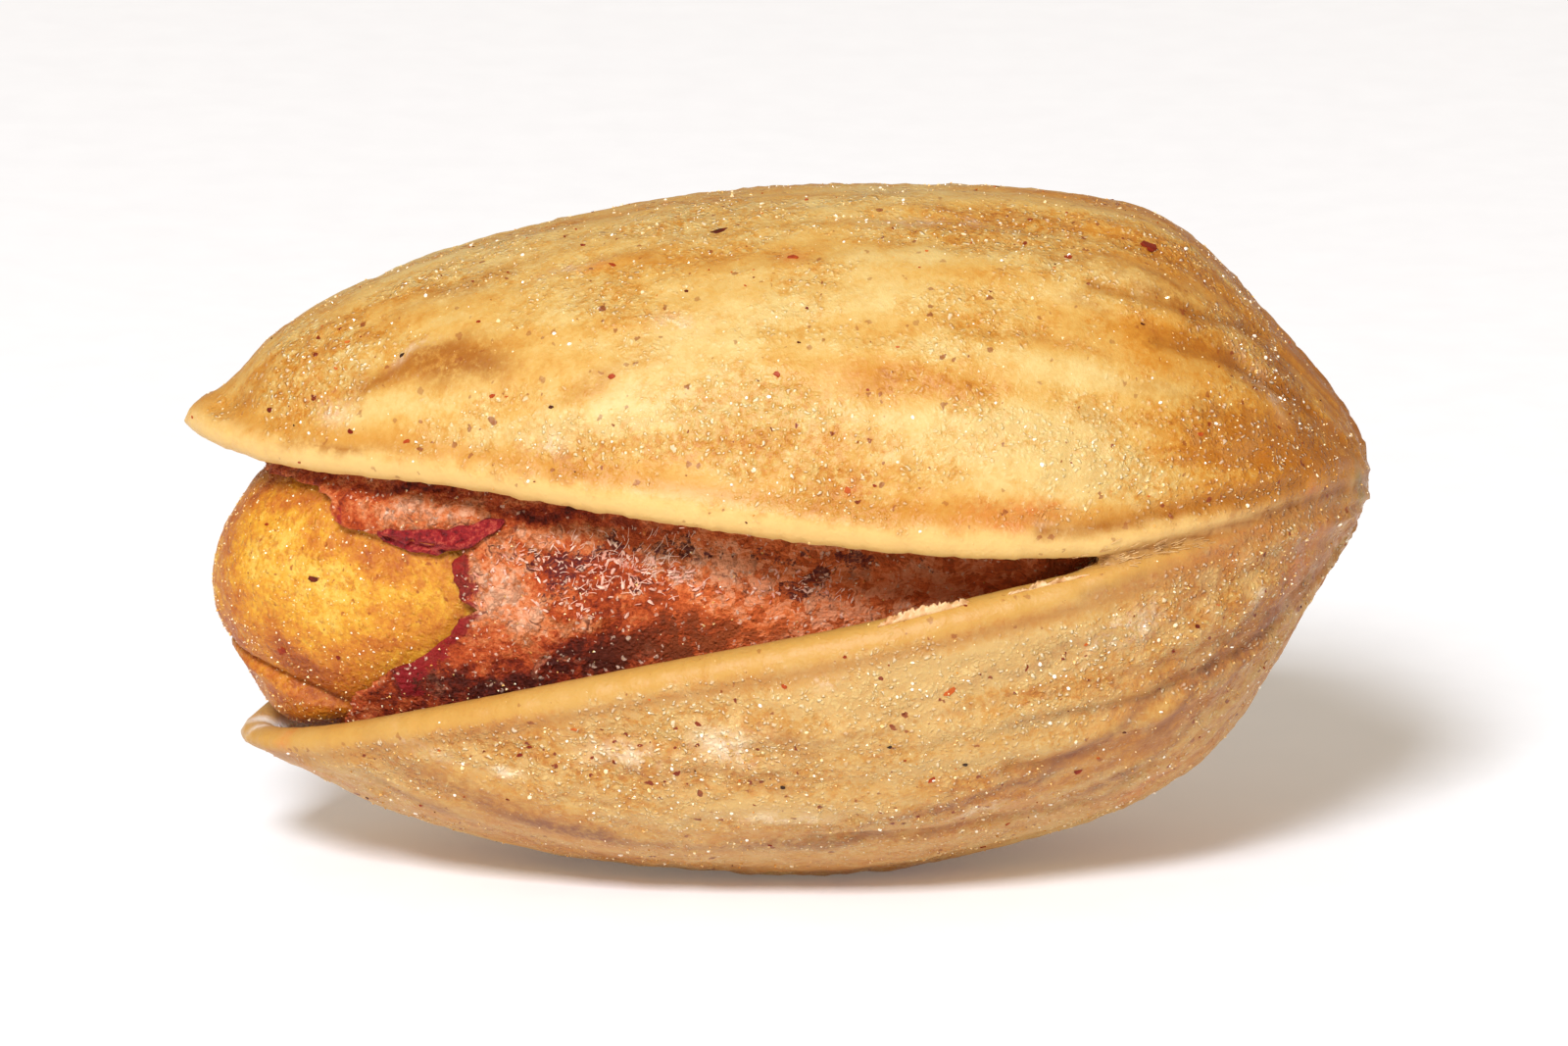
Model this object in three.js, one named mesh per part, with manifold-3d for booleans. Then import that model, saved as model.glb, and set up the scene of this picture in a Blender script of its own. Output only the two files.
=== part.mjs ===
// A split pistachio in its shell, lying on its belly with the open seam towards the front.
// Millimetres, +Z up. X runs from the pointed tips (-X) to the stem end (+X), and the front is -Y.
// The origin is on the surface that the nut lies on, under the middle of its length and width.

import * as THREE from "three";
import { LoftGeometry } from "three/addons/geometries/LoftGeometry.js";
import { mergeVertices } from "three/addons/utils/BufferGeometryUtils.js";
import Module from "manifold-3d";

const wasm = await Module();
wasm.setup();

// Shell: wall and lips
const WALL = 0.68;
const STEM_WALL = 1.3;
const STEM_REACH = 0.12;
const LIP_ROUND = 0.25;
const SPINE_STEM_X = 7.0;
const SPINE_TIP_X = -7.4;

// Shell: half of each seam edge, from the stem end to the tip, as [x, half width, z].
// Both valves share the stem end, where the seam has not split.
const STEM_END = [10, 0, 6.75];
const UPPER_LIP = [
  STEM_END,
  [9.72, 1.1, 6.82],
  [8.6, 2.85, 6.86],
  [7.1, 4.05, 6.66],
  [5.2, 4.9, 6.5],
  [1.8, 5.5, 6.75],
  [-2.4, 5.05, 7.22],
  [-5.6, 3.75, 7.48],
  [-8.2, 2.15, 7.42],
  [-9.5, 0.85, 7.52],
  [-10, 0, 7.6],
];
const LOWER_LIP = [
  STEM_END,
  [9.72, 1.1, 6.66],
  [8.6, 2.85, 6.62],
  [7.1, 4.05, 6.36],
  [5.2, 4.9, 5.9],
  [1.8, 5.45, 5.15],
  [-2.4, 4.9, 4.2],
  [-5.6, 3.72, 3.3],
  [-7.8, 2.2, 2.58],
  [-8.8, 0.95, 2.28],
  [-9.1, 0, 2.2],
];

// Shell: middle line of each valve's back, from the stem end to the tip, as [x, z]
const UPPER_BACK = [
  [10, 6.75],
  [9.6, 7.7],
  [8.68, 8.8],
  [7.58, 10.04],
  [6.2, 11.05],
  [4.0, 11.48],
  [1.4, 11.55],
  [-2.0, 11.27],
  [-5.4, 10.48],
  [-7.9, 9.45],
  [-8.9, 8.62],
  [-9.5, 8.1],
  [-10, 7.6],
];
const LOWER_BACK = [
  [10, 6.75],
  [9.75, 5.8],
  [9.0, 4.6],
  [8.0, 3.0],
  [6.9, 1.83],
  [4.6, 0.62],
  [1.6, -0.06],
  [-1.0, -0.06],
  [-4.4, 0.38],
  [-6.8, 1.08],
  [-8.1, 1.8],
  [-8.8, 1.95],
  [-9.1, 2.2],
];

// The space below the surface that the nut lies on, which cuts the belly flat
const GROUND = { size: 30, depth: 10 };

// Shell: the smooth bead along each lip, the groove behind it, and the ridges that fan out from the stem end
const BEAD = { height: 0.08, at: 0.3, reach: 0.26 };
const GROOVE = { depth: 0.04, at: 0.85, reach: 0.3 };
const RIDGES = { height: 0.08, waves: 18, fineWaves: 30, fineShare: 0.4, strongestAt: 0.22, reach: 0.3 };

// Kernel: an egg on a leaning axis, as [x, z] at its two ends, and the crevice between its seed leaves
const KERNEL_STEM = [7.6, 6.0];
const KERNEL_TIP = [-9.5, 4.9];
const KERNEL_HALF_WIDTH = 3.55;
const KERNEL_HALF_HEIGHT = 4.0;
const CREVICE = { z: 3.72, width: 0.14, depth: 1.3, rollDegrees: 14 };

// Seed skin: a thin sock over the kernel, torn open at the tip
const SKIN_GAP = 0.13;
const SKIN = 0.14;
// How far along the kernel the torn edge lies, as [degrees round from the front, up over the top, x]
const SKIN_EDGE = [
  [-90, -8.5],
  [-62, -8.3],
  [-40, -7.4],
  [-14, -6.3],
  [-5, -5.55],
  [6, -5.3],
  [15, -5.3],
  [21, -6.6],
  [26, -7.45],
  [38, -7.55],
  [50, -8.0],
  [68, -8.45],
  [100, -8.5],
  [140, -8.2],
  [180, -7.6],
  [225, -8.2],
];

// How finely the solids are faceted
const STATIONS = 40;
const STATION_CROWDING = 0.5;
const OUTSIDE_STEPS = 34;
const OUTSIDE_CROWDING = 0.55;
const INSIDE_STEPS = 14;
const LIP_STEPS = 4;
const KERNEL_STATIONS = 26;
const KERNEL_STEPS = 32;
const SKIN_STATIONS = 16;
const SKIN_STEPS = 40;
const MERGE = 1e-3;

const COLOURS = { shell: 0xdcb375, kernel: 0xdca53a, skin: 0x84402c };

const { lerp, degToRad } = THREE.MathUtils;
const hump = (distance, reach) => Math.exp(-((distance / reach) ** 2));

// Steps that crowd towards both ends of 0 to 1
const crowdEnds = (t, share) => t - (share * Math.sin(2 * Math.PI * t)) / (2 * Math.PI);

const lipCurve = (points) => new THREE.CatmullRomCurve3(points.map((p) => new THREE.Vector3(...p)));
const backCurve = (points) => new THREE.CatmullRomCurve3(points.map(([x, z]) => new THREE.Vector3(x, 0, z)));

// A closed surface as a solid: shared points are merged and triangles that collapse at a pole are dropped.
function solidOf(geometry) {
  const bare = new THREE.BufferGeometry()
    .setAttribute("position", geometry.getAttribute("position"))
    .setIndex(geometry.getIndex());
  const merged = mergeVertices(bare, MERGE);
  const corners = merged.getIndex().array;
  const kept = [];
  for (let i = 0; i < corners.length; i += 3) {
    const [a, b, c] = corners.slice(i, i + 3);
    if (a !== b && b !== c && c !== a) kept.push(a, b, c);
  }
  const vertProperties = new Float32Array(merged.getAttribute("position").array);
  return new wasm.Manifold(new wasm.Mesh({ numProp: 3, vertProperties, triVerts: new Uint32Array(kept) }));
}

function meshOf(name, solid, colour, roughness) {
  const { vertProperties, triVerts } = solid.getMesh();
  const geometry = new THREE.BufferGeometry()
    .setAttribute("position", new THREE.BufferAttribute(vertProperties, 3))
    .setIndex(new THREE.BufferAttribute(triVerts, 1));
  geometry.computeVertexNormals();
  const material = new THREE.MeshStandardMaterial({ color: colour, roughness, metalness: 0 });
  const mesh = new THREE.Mesh(geometry, material);
  mesh.name = name;
  return mesh;
}

// Height of the shell's relief at a turn over the arch (0 at the front lip, pi at the back lip)
function shellRelief(turn, along, rise) {
  const fromLip = rise * Math.min(turn, Math.PI - turn);
  const bead = BEAD.height * hump(fromLip - BEAD.at, BEAD.reach);
  const groove = GROOVE.depth * hump(fromLip - GROOVE.at, GROOVE.reach);
  const waves = lerp(Math.cos(RIDGES.waves * turn), Math.cos(RIDGES.fineWaves * turn + 1), RIDGES.fineShare);
  const awayFromLip = 1 - hump(fromLip, 2 * GROOVE.at);
  const ridges = RIDGES.height * waves * hump(along - RIDGES.strongestAt, RIDGES.reach) * awayFromLip;
  const ends = Math.min(1, rise / (2 * BEAD.at));
  return ends * (bead - groove + ridges);
}

// One valve's section: over the outside from the front lip to the back lip, round that lip, and back inside.
// side is 1 for the upper valve and -1 for the lower.
function valveSection(lip, back, along, side) {
  const spine = new THREE.Vector3(lerp(SPINE_STEM_X, SPINE_TIP_X, along), 0, lip.z);
  const rise = Math.abs(back.z - lip.z);
  const inwards = (p, depth) => p.clone().addScaledVector(spine.clone().sub(p).normalize(), depth);
  const arch = (turn) =>
    new THREE.Vector3(
      lerp(lip.x, back.x, Math.sin(turn)),
      -lip.y * Math.cos(turn),
      lerp(lip.z, back.z, Math.sin(turn)),
    );
  const outside = (turn) => inwards(arch(turn), -shellRelief(turn, along, rise));
  const wall = lerp(WALL, STEM_WALL, hump(along, STEM_REACH));
  const inside = (turn) => inwards(arch(turn), wall);
  const lipEnd = (turn) => {
    const points = [];
    for (let i = 1; i < LIP_STEPS; i++) {
      const across = (Math.PI * i) / LIP_STEPS;
      const point = outside(turn).lerp(inside(turn), (1 - Math.cos(across)) / 2);
      point.z -= side * LIP_ROUND * Math.sin(across);
      points.push(point);
    }
    return points;
  };
  const ring = [];
  for (let i = 0; i <= OUTSIDE_STEPS; i++) {
    ring.push(outside(Math.PI * crowdEnds(i / OUTSIDE_STEPS, OUTSIDE_CROWDING)));
  }
  ring.push(...lipEnd(Math.PI));
  for (let i = INSIDE_STEPS; i >= 0; i--) ring.push(inside((Math.PI * i) / INSIDE_STEPS));
  ring.push(...lipEnd(0).reverse());
  return side > 0 ? ring : ring.reverse();
}

function valve(lipPoints, backPoints, side) {
  const lip = lipCurve(lipPoints);
  const back = backCurve(backPoints);
  const sections = [];
  for (let i = 0; i <= STATIONS; i++) {
    const along = crowdEnds(i / STATIONS, STATION_CROWDING);
    sections.push(valveSection(lip.getPointAt(along), back.getPointAt(along), along, side));
  }
  return solidOf(new LoftGeometry(sections));
}

// The valves overlap where their seam has not split, and the belly is flat where the nut rests.
function shell() {
  const { size, depth } = GROUND;
  const below = new THREE.BoxGeometry(size, size, depth).translate(0, 0, -depth / 2);
  const valves = valve(UPPER_LIP, UPPER_BACK, 1).add(valve(LOWER_LIP, LOWER_BACK, -1));
  return valves.subtract(solidOf(below));
}

// A point of the kernel's surface, or of one that stands off it. round is 0 at the front and rises to the top.
function kernelPoint(x, round, standOff) {
  const middle = (KERNEL_STEM[0] + KERNEL_TIP[0]) / 2;
  const half = (KERNEL_STEM[0] - KERNEL_TIP[0]) / 2;
  const centreZ = lerp(KERNEL_TIP[1], KERNEL_STEM[1], (x - KERNEL_TIP[0]) / (2 * half));
  const slim = Math.sqrt(Math.max(0, 1 - ((x - middle) / half) ** 2));
  const point = new THREE.Vector3(
    x,
    -KERNEL_HALF_WIDTH * slim * Math.cos(round),
    centreZ + KERNEL_HALF_HEIGHT * slim * Math.sin(round),
  );
  const normal = new THREE.Vector3(
    (x - middle) / half ** 2,
    point.y / KERNEL_HALF_WIDTH ** 2,
    (point.z - centreZ) / KERNEL_HALF_HEIGHT ** 2,
  ).normalize();
  return point.addScaledVector(normal, standOff);
}

// x at a share of the way from the stem end (0) to the tip (1), stepping evenly round the ends
const kernelX = (share) =>
  (KERNEL_STEM[0] + KERNEL_TIP[0]) / 2 + ((KERNEL_STEM[0] - KERNEL_TIP[0]) / 2) * Math.cos(Math.PI * share);
const kernelShare = (x) =>
  Math.acos((2 * x - KERNEL_STEM[0] - KERNEL_TIP[0]) / (KERNEL_STEM[0] - KERNEL_TIP[0])) / Math.PI;

function kernel() {
  const sections = [];
  for (let i = 0; i <= KERNEL_STATIONS; i++) {
    const x = kernelX(i / KERNEL_STATIONS);
    const ring = [];
    for (let j = 0; j < KERNEL_STEPS; j++) ring.push(kernelPoint(x, (2 * Math.PI * j) / KERNEL_STEPS, 0));
    sections.push(ring);
  }
  const crevice = new THREE.BoxGeometry(2 * CREVICE.depth, 4 * KERNEL_HALF_WIDTH, CREVICE.width)
    .rotateX(degToRad(CREVICE.rollDegrees))
    .translate(KERNEL_TIP[0], 0, CREVICE.z);
  return solidOf(new LoftGeometry(sections)).subtract(solidOf(crevice));
}

// The torn edge as a closed curve of [degrees round, x], read at any angle
function skinEdge(degrees) {
  const last = SKIN_EDGE.length - 1;
  const turn = ((degrees + 90) % 360) - 90;
  const next = SKIN_EDGE.findIndex(([at]) => at > turn);
  const [fromAt, fromX] = SKIN_EDGE[next < 0 ? last : next - 1];
  const [toAt, toX] = next < 0 ? [SKIN_EDGE[0][0] + 360, SKIN_EDGE[0][1]] : SKIN_EDGE[next];
  return lerp(fromX, toX, (turn - fromAt) / (toAt - fromAt));
}

function kernelSkin() {
  const sections = [];
  const addRing = (share, standOff) => {
    const ring = [];
    for (let j = 0; j < SKIN_STEPS; j++) {
      const degrees = (360 * j) / SKIN_STEPS;
      const x = kernelX(share * kernelShare(skinEdge(degrees)));
      ring.push(kernelPoint(x, degToRad(degrees), standOff));
    }
    sections.push(ring);
  };
  for (let i = 0; i <= SKIN_STATIONS; i++) addRing(i / SKIN_STATIONS, SKIN_GAP + SKIN);
  for (let i = SKIN_STATIONS; i >= 0; i--) addRing(i / SKIN_STATIONS, SKIN_GAP);
  return solidOf(new LoftGeometry(sections));
}

const pistachio = new THREE.Group();
pistachio.add(meshOf("shell", shell(), COLOURS.shell, 0.6));
pistachio.add(meshOf("kernel", kernel(), COLOURS.kernel, 0.45));
pistachio.add(meshOf("kernel_skin", kernelSkin(), COLOURS.skin, 0.7));

export default pistachio;
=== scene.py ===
# Looks of a split pistachio: its mottled and salted shell, the roasted kernel and the torn seed skin.
# Metres, +Z up. +X is the stem end, -X holds the pointed tips, and the seam that the photograph shows
# faces -Y.

import math
import random

import bmesh
import bpy
import numpy as np
from mathutils import Matrix, Vector, noise
from mathutils.bvhtree import BVHTree
from mathutils.kdtree import KDTree


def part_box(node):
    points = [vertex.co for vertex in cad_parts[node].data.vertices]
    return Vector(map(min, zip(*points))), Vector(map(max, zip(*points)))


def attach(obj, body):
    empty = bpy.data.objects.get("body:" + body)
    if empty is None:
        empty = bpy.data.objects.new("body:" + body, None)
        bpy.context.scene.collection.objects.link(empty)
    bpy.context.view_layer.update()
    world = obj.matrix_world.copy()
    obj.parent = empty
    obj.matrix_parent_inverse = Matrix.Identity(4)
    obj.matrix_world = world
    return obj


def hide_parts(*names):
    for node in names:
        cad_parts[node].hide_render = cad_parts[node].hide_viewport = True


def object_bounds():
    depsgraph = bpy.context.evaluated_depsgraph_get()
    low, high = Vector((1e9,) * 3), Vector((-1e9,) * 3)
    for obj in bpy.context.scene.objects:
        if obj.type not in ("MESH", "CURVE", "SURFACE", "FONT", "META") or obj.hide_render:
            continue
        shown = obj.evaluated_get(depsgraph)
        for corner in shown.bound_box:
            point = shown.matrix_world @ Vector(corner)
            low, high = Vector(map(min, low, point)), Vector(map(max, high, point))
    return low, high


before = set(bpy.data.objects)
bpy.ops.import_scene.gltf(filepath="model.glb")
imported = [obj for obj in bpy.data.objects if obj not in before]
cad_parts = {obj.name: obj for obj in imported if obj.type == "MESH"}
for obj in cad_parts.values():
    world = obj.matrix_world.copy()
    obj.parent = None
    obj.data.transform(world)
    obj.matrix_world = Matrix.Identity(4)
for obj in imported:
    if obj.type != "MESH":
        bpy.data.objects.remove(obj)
cad_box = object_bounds()

MM = 0.001
BODY = "root"

# The noise that pushes places about has a random start unless it is given one
NOISE_SEED = 5
noise.seed_set(NOISE_SEED)

# Camera: the photograph is 1600 by 1067 pixels, and the nut's 20 mm are 1215 of them
PHOTO_WIDTH = 1600
PHOTO_HEIGHT = 1067
PIXELS_PER_MM = 60.75
SENSOR_MM = 36.0
CAMERA_DISTANCE_MM = 220.0
CAMERA_ELEVATION = math.radians(13)
CAMERA_AIM_MM = Vector((0.123, 0.0, 5.82))
CLIP_START = 0.01
CLIP_END = 5.0

# Seam: height of each lip along the nut, as (x, z) in mm
UPPER_LIP = [(-10, 7.6), (-9.5, 7.52), (-8.2, 7.42), (-5.6, 7.48), (-2.4, 7.22), (1.8, 6.75),
             (5.2, 6.5), (7.1, 6.66), (8.6, 6.86), (10, 6.75)]
LOWER_LIP = [(-9.1, 2.2), (-8.8, 2.28), (-7.8, 2.58), (-5.6, 3.3), (-2.4, 4.2), (1.8, 5.15),
             (5.2, 5.9), (7.1, 6.36), (8.6, 6.62), (10, 6.75)]
NOTCH_X = 5.3
SPINE_Z = 6.2

# Kernel: its ends along X and the height of its axis there, and the crevice between its seed leaves
KERNEL_TIP_X, KERNEL_TIP_Z = -9.5, 4.9
KERNEL_STEM_X, KERNEL_STEM_Z = 7.6, 6.0
CREVICE_START = Vector((-9.05, -0.7, 3.75))
CREVICE_FALL = 0.28
CREVICE_ROLL = 0.15

# Fineness of the pieces
MERGE_MM = 0.002
QUAD_ANGLE = math.radians(60)
SHELL_VOXEL_MM = 0.124
KERNEL_SUBDIVISIONS = 7
SKIN_LEVELS = 3


def srgb(red, green, blue):
    """A colour as it shows on screen, from 0 to 255, as the linear colour that a shader takes."""
    def linear(value):
        share = value / 255
        return share / 12.92 if share <= 0.04045 else ((share + 0.055) / 1.055) ** 2.4
    return (linear(red), linear(green), linear(blue), 1.0)


def lerp(low, high, share):
    """The value a share of the way from low to high."""
    return low + (high - low) * share


def smooth_step(low, high, value):
    """0 at low and 1 at high, with a smooth change between them."""
    share = min(1.0, max(0.0, (value - low) / (high - low)))
    return share * share * (3 - 2 * share)


def hump(distance, reach):
    """A soft hump: 1 at no distance, and near 0 at twice its reach."""
    return math.exp(-((distance / reach) ** 2))


def along_curve(points, x):
    """Height of a line of (x, z) points at x."""
    for (x0, z0), (x1, z1) in zip(points, points[1:]):
        if x <= x1:
            return lerp(z0, z1, max(0.0, (x - x0) / (x1 - x0)))
    return points[-1][1]


def rough(co, *octaves):
    """Noise at a point, summed from octaves of (height, waves a unit)."""
    return sum(height * noise.noise(co * waves) for height, waves in octaves)


def seam_height(x):
    """Height midway between the two lips at x, in mm."""
    return (along_curve(UPPER_LIP, x) + along_curve(LOWER_LIP, x)) / 2


# Camera and sight lines

FORWARD = Vector((0, math.cos(CAMERA_ELEVATION), -math.sin(CAMERA_ELEVATION)))
RIGHT = Vector((1, 0, 0))
UP = RIGHT.cross(FORWARD)
EYE = (CAMERA_AIM_MM - FORWARD * CAMERA_DISTANCE_MM) * MM


def sight_line(px, py):
    """Direction from the camera through a pixel of the photograph."""
    across = RIGHT * (px - PHOTO_WIDTH / 2) + UP * (PHOTO_HEIGHT / 2 - py)
    return (FORWARD * CAMERA_DISTANCE_MM + across / PIXELS_PER_MM).normalized()


def add_object(name, data):
    """A new object in the scene."""
    made = bpy.data.objects.new(name, data)
    bpy.context.scene.collection.objects.link(made)
    return made


def make_camera():
    """The camera, with the view that the photograph has."""
    data = bpy.data.cameras.new("camera")
    data.sensor_width = SENSOR_MM
    data.lens = SENSOR_MM * CAMERA_DISTANCE_MM * PIXELS_PER_MM / PHOTO_WIDTH
    data.clip_start = CLIP_START
    data.clip_end = CLIP_END
    camera = add_object("camera", data)
    camera.location = EYE
    camera.rotation_euler = (math.pi / 2 - CAMERA_ELEVATION, 0, 0)
    bpy.context.scene.camera = camera


# Pieces

def new_piece(shape, name):
    """A bmesh as an object at the origin. The bmesh is used up."""
    mesh = bpy.data.meshes.new(name)
    shape.to_mesh(mesh)
    shape.free()
    return add_object(name, mesh)


def evaluated_mesh(made):
    """The shape that an object shows, as a new mesh."""
    depsgraph = bpy.context.evaluated_depsgraph_get()
    return bpy.data.meshes.new_from_object(made.evaluated_get(depsgraph))


def shape_by(piece, kind, **settings):
    """Puts a piece's mesh through one modifier."""
    modifier = piece.modifiers.new("shaping", kind)
    for name, value in settings.items():
        setattr(modifier, name, value)
    made = evaluated_mesh(piece)
    piece.modifiers.clear()
    piece.data = made


def dress(piece, material, slot, *nodes, smooth=True):
    """Gives a piece its material, its shading and its place on the body."""
    piece.data.materials.clear()
    piece.data.materials.append(material)
    if smooth:
        piece.data.shade_smooth()
    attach(piece, BODY)
    if nodes:
        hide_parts(*nodes)


def merged_copy(node):
    """A node's surface with its loose triangles merged and joined into quads."""
    shape = bmesh.new()
    shape.from_mesh(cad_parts[node].data)
    bmesh.ops.remove_doubles(shape, verts=shape.verts, dist=MERGE_MM * MM)
    bmesh.ops.join_triangles(
        shape, faces=shape.faces, angle_face_threshold=QUAD_ANGLE,
        angle_shape_threshold=math.pi, topology_influence=1.0)
    return shape


def write_attributes(piece, layers):
    """Keeps the values that each layer has at the vertices, for the materials to read."""
    for name, values in layers.items():
        attribute = piece.data.attributes.new(name, "FLOAT", "POINT")
        attribute.data.foreach_set("value", np.asarray(values, dtype=np.float32))


def surface_of(*pieces):
    """A tree for finding points on pieces."""
    shape = bmesh.new()
    for piece in pieces:
        shape.from_mesh(piece.data)
    tree = BVHTree.FromBMesh(shape)
    shape.free()
    return tree


def seen_point(tree, px, py):
    """The point and normal that a pixel shows, or the nearest ones where it just misses."""
    ray = sight_line(px, py)
    point, normal, _, _ = tree.ray_cast(EYE, ray)
    if point is None:
        point, normal, _, _ = tree.find_nearest(EYE + ray * CAMERA_DISTANCE_MM * MM)
    return point, normal


def level_along(normal):
    """The direction on a surface that runs along the nut."""
    return (RIGHT - normal * normal.dot(RIGHT)).normalized()


class Mark:
    """A soft oval on a surface, placed by a pixel of the photograph, with its half sizes in mm."""

    def __init__(self, tree, px, py, half_length, half_width, tilt, strength):
        self.centre, normal = seen_point(tree, px, py)
        self.along = Matrix.Rotation(math.radians(tilt), 3, normal) @ level_along(normal)
        self.across = normal.cross(self.along)
        self.half_length = half_length * MM
        self.half_width = half_width * MM
        self.strength = strength

    def over(self, places):
        """The mark's strength at each row of an array of places."""
        offset = places - np.array(self.centre)
        along = offset @ np.array(self.along) / self.half_length
        across = offset @ np.array(self.across) / self.half_width
        depth = np.linalg.norm(offset, axis=1) / (2.5 * max(self.half_length, self.half_width))
        return self.strength * np.exp(-along ** 2 - across ** 2 - depth ** 4)


def frayed(co):
    """A place pushed about by noise, so that marks get uneven outlines."""
    wander = noise.noise_vector(co * (1.2 / MM)) * 0.22
    tremble = noise.noise_vector(co * (4.0 / MM)) * 0.09
    return co + (wander + tremble) * MM


def painted(tree, piece, tables):
    """The sum of each table's marks at each vertex, from 0 to 1."""
    places = np.array([frayed(v.co) for v in piece.data.vertices])
    return {
        name: np.clip(sum(Mark(tree, *mark).over(places) for mark in marks), 0.0, 1.0)
        for name, marks in tables.items()}


# Shell: form

# Marks are (pixel x, pixel y, half length, half width, tilt in degrees, strength)
BROWN_STAINS = [
    (500, 374, 0.45, 0.28, -20, 0.7), (420, 372, 0.9, 0.22, 12, 0.6), (475, 362, 0.7, 0.36, 5, 0.8),
    (470, 292, 1.5, 0.3, 14, 0.5), (345, 455, 1.2, 0.1, -8, 1.0), (1225, 335, 1.9, 0.15, -24, 1.1),
    (1320, 395, 0.9, 0.32, -40, 1.6), (385, 385, 0.5, 0.16, 18, 0.7), (445, 370, 0.5, 0.26, 10, 0.5),
    (920, 388, 1.5, 0.07, 6, 0.2), (965, 226, 1.3, 0.13, 0, 0.55), (1085, 262, 0.3, 0.1, 0, 0.4),
    (640, 258, 1.6, 0.14, 12, 0.35), (1225, 516, 1.5, 0.1, 13, 1.1), (1190, 290, 1.4, 0.12, -18, 0.8),
    (1285, 345, 1.2, 0.14, -42, 1.2), (1330, 445, 0.9, 0.25, -20, 0.8), (600, 395, 1.2, 0.12, 20, 0.3),
    (1130, 430, 0.8, 0.14, -8, 0.3), (255, 402, 0.5, 0.3, 30, 0.5), (820, 262, 1.4, 0.12, 2, 0.25),
    (1040, 345, 1.6, 0.1, -4, 0.35), (1200, 405, 1.4, 0.12, -14, 0.35), (1370, 460, 0.4, 0.3, -50, 0.6),
    (1270, 430, 1.0, 0.2, -16, 0.25), (1110, 310, 0.5, 0.14, -10, 0.5), (805, 755, 0.45, 0.4, 0, 0.55),
]
GREY_STAINS = [
    (560, 838, 1.5, 0.22, -9, 1.0), (830, 864, 2.4, 0.13, 3, 0.9), (420, 815, 1.1, 0.16, -20, 0.8),
    (1235, 690, 1.8, 0.16, 40, 0.9), (1120, 757, 2.0, 0.11, 26, 0.9), (980, 822, 2.2, 0.1, 12, 0.8),
    (1080, 668, 2.5, 0.1, 16, 0.6), (1310, 600, 1.0, 0.3, 45, 0.7), (1290, 640, 1.0, 0.14, 50, 0.9),
    (900, 745, 2.5, 0.08, 8, 0.5), (1180, 640, 1.6, 0.08, 22, 0.5), (700, 790, 2.0, 0.1, 3, 0.4),
    (1150, 790, 1.6, 0.1, 26, 0.9), (592, 845, 0.6, 0.2, -10, 1.0), (430, 785, 0.9, 0.3, -18, 0.5),
    (1350, 560, 0.8, 0.25, 50, 0.6),
]
PALE_PATCHES = [
    (960, 350, 1.5, 0.5, 0, 0.8), (1010, 450, 2.2, 0.6, 0, 1.0), (620, 420, 1.5, 0.5, 8, 0.7),
    (760, 330, 1.6, 0.5, 6, 0.7), (560, 330, 0.8, 0.4, 12, 0.5), (400, 420, 1.2, 0.3, 8, 0.5),
    (880, 715, 1.8, 0.5, 8, 1.2), (1000, 770, 1.8, 0.5, 14, 1.0), (760, 830, 1.8, 0.3, 0, 0.8),
    (1040, 665, 1.8, 0.35, 16, 1.1), (680, 840, 1.0, 0.25, -4, 0.8), (1130, 640, 0.9, 0.4, 20, 0.9),
    (620, 750, 1.6, 0.2, 4, 0.6), (900, 800, 1.4, 0.25, 8, 0.8), (1060, 235, 1.6, 0.4, -4, 0.7),
]
CRUSTS = [
    (560, 455, 0.8, 0.5, 0, 0.9), (760, 420, 1.4, 0.9, 0, 0.8), (1045, 525, 0.8, 0.2, 0, 1.0),
    (870, 500, 0.7, 0.35, 0, 0.7), (1180, 470, 1.5, 0.6, 10, 0.6), (640, 300, 1.2, 0.5, 10, 0.6),
    (320, 370, 1.1, 0.9, 0, 0.9), (740, 760, 1.6, 0.6, 0, 1.0), (560, 780, 1.6, 0.5, 0, 0.9),
    (1180, 620, 1.8, 0.5, 20, 1.0), (1000, 690, 1.8, 0.4, 12, 0.7), (1000, 240, 2.2, 0.5, 0, 0.6),
    (1310, 390, 1.1, 0.7, -40, 1.0), (1120, 290, 1.4, 0.5, -10, 0.7), (880, 840, 2.2, 0.4, 5, 0.7),
    (1300, 570, 1.2, 0.8, 40, 1.0), (420, 790, 1.2, 0.3, -20, 0.8), (470, 270, 1.5, 0.4, 14, 0.8),
    (1080, 222, 2.0, 0.6, -4, 0.6), (800, 212, 2.4, 0.6, 0, 0.5), (600, 240, 2.0, 0.5, 12, 0.6),
    (1230, 270, 1.0, 0.6, -40, 0.8), (640, 790, 1.6, 0.5, 0, 0.7), (1100, 700, 1.4, 0.5, 16, 0.7),
]
BLUSHES = [
    (1035, 526, 0.75, 0.2, 4, 1.6), (1343, 493, 0.26, 0.12, 20, 1.8), (868, 500, 0.16, 0.2, 0, 0.8),
    (1250, 560, 1.2, 0.25, 18, 0.6), (810, 262, 0.2, 0.12, 0, 0.7), (612, 272, 0.3, 0.12, 0, 0.5),
    (1330, 570, 0.8, 0.4, 40, 0.6), (1175, 800, 0.8, 0.2, 26, 0.6), (300, 775, 0.8, 0.12, -20, 0.5),
]
GREEN_TINT = [(1388, 490, 0.22, 0.3, 0, 1.0)]
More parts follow.
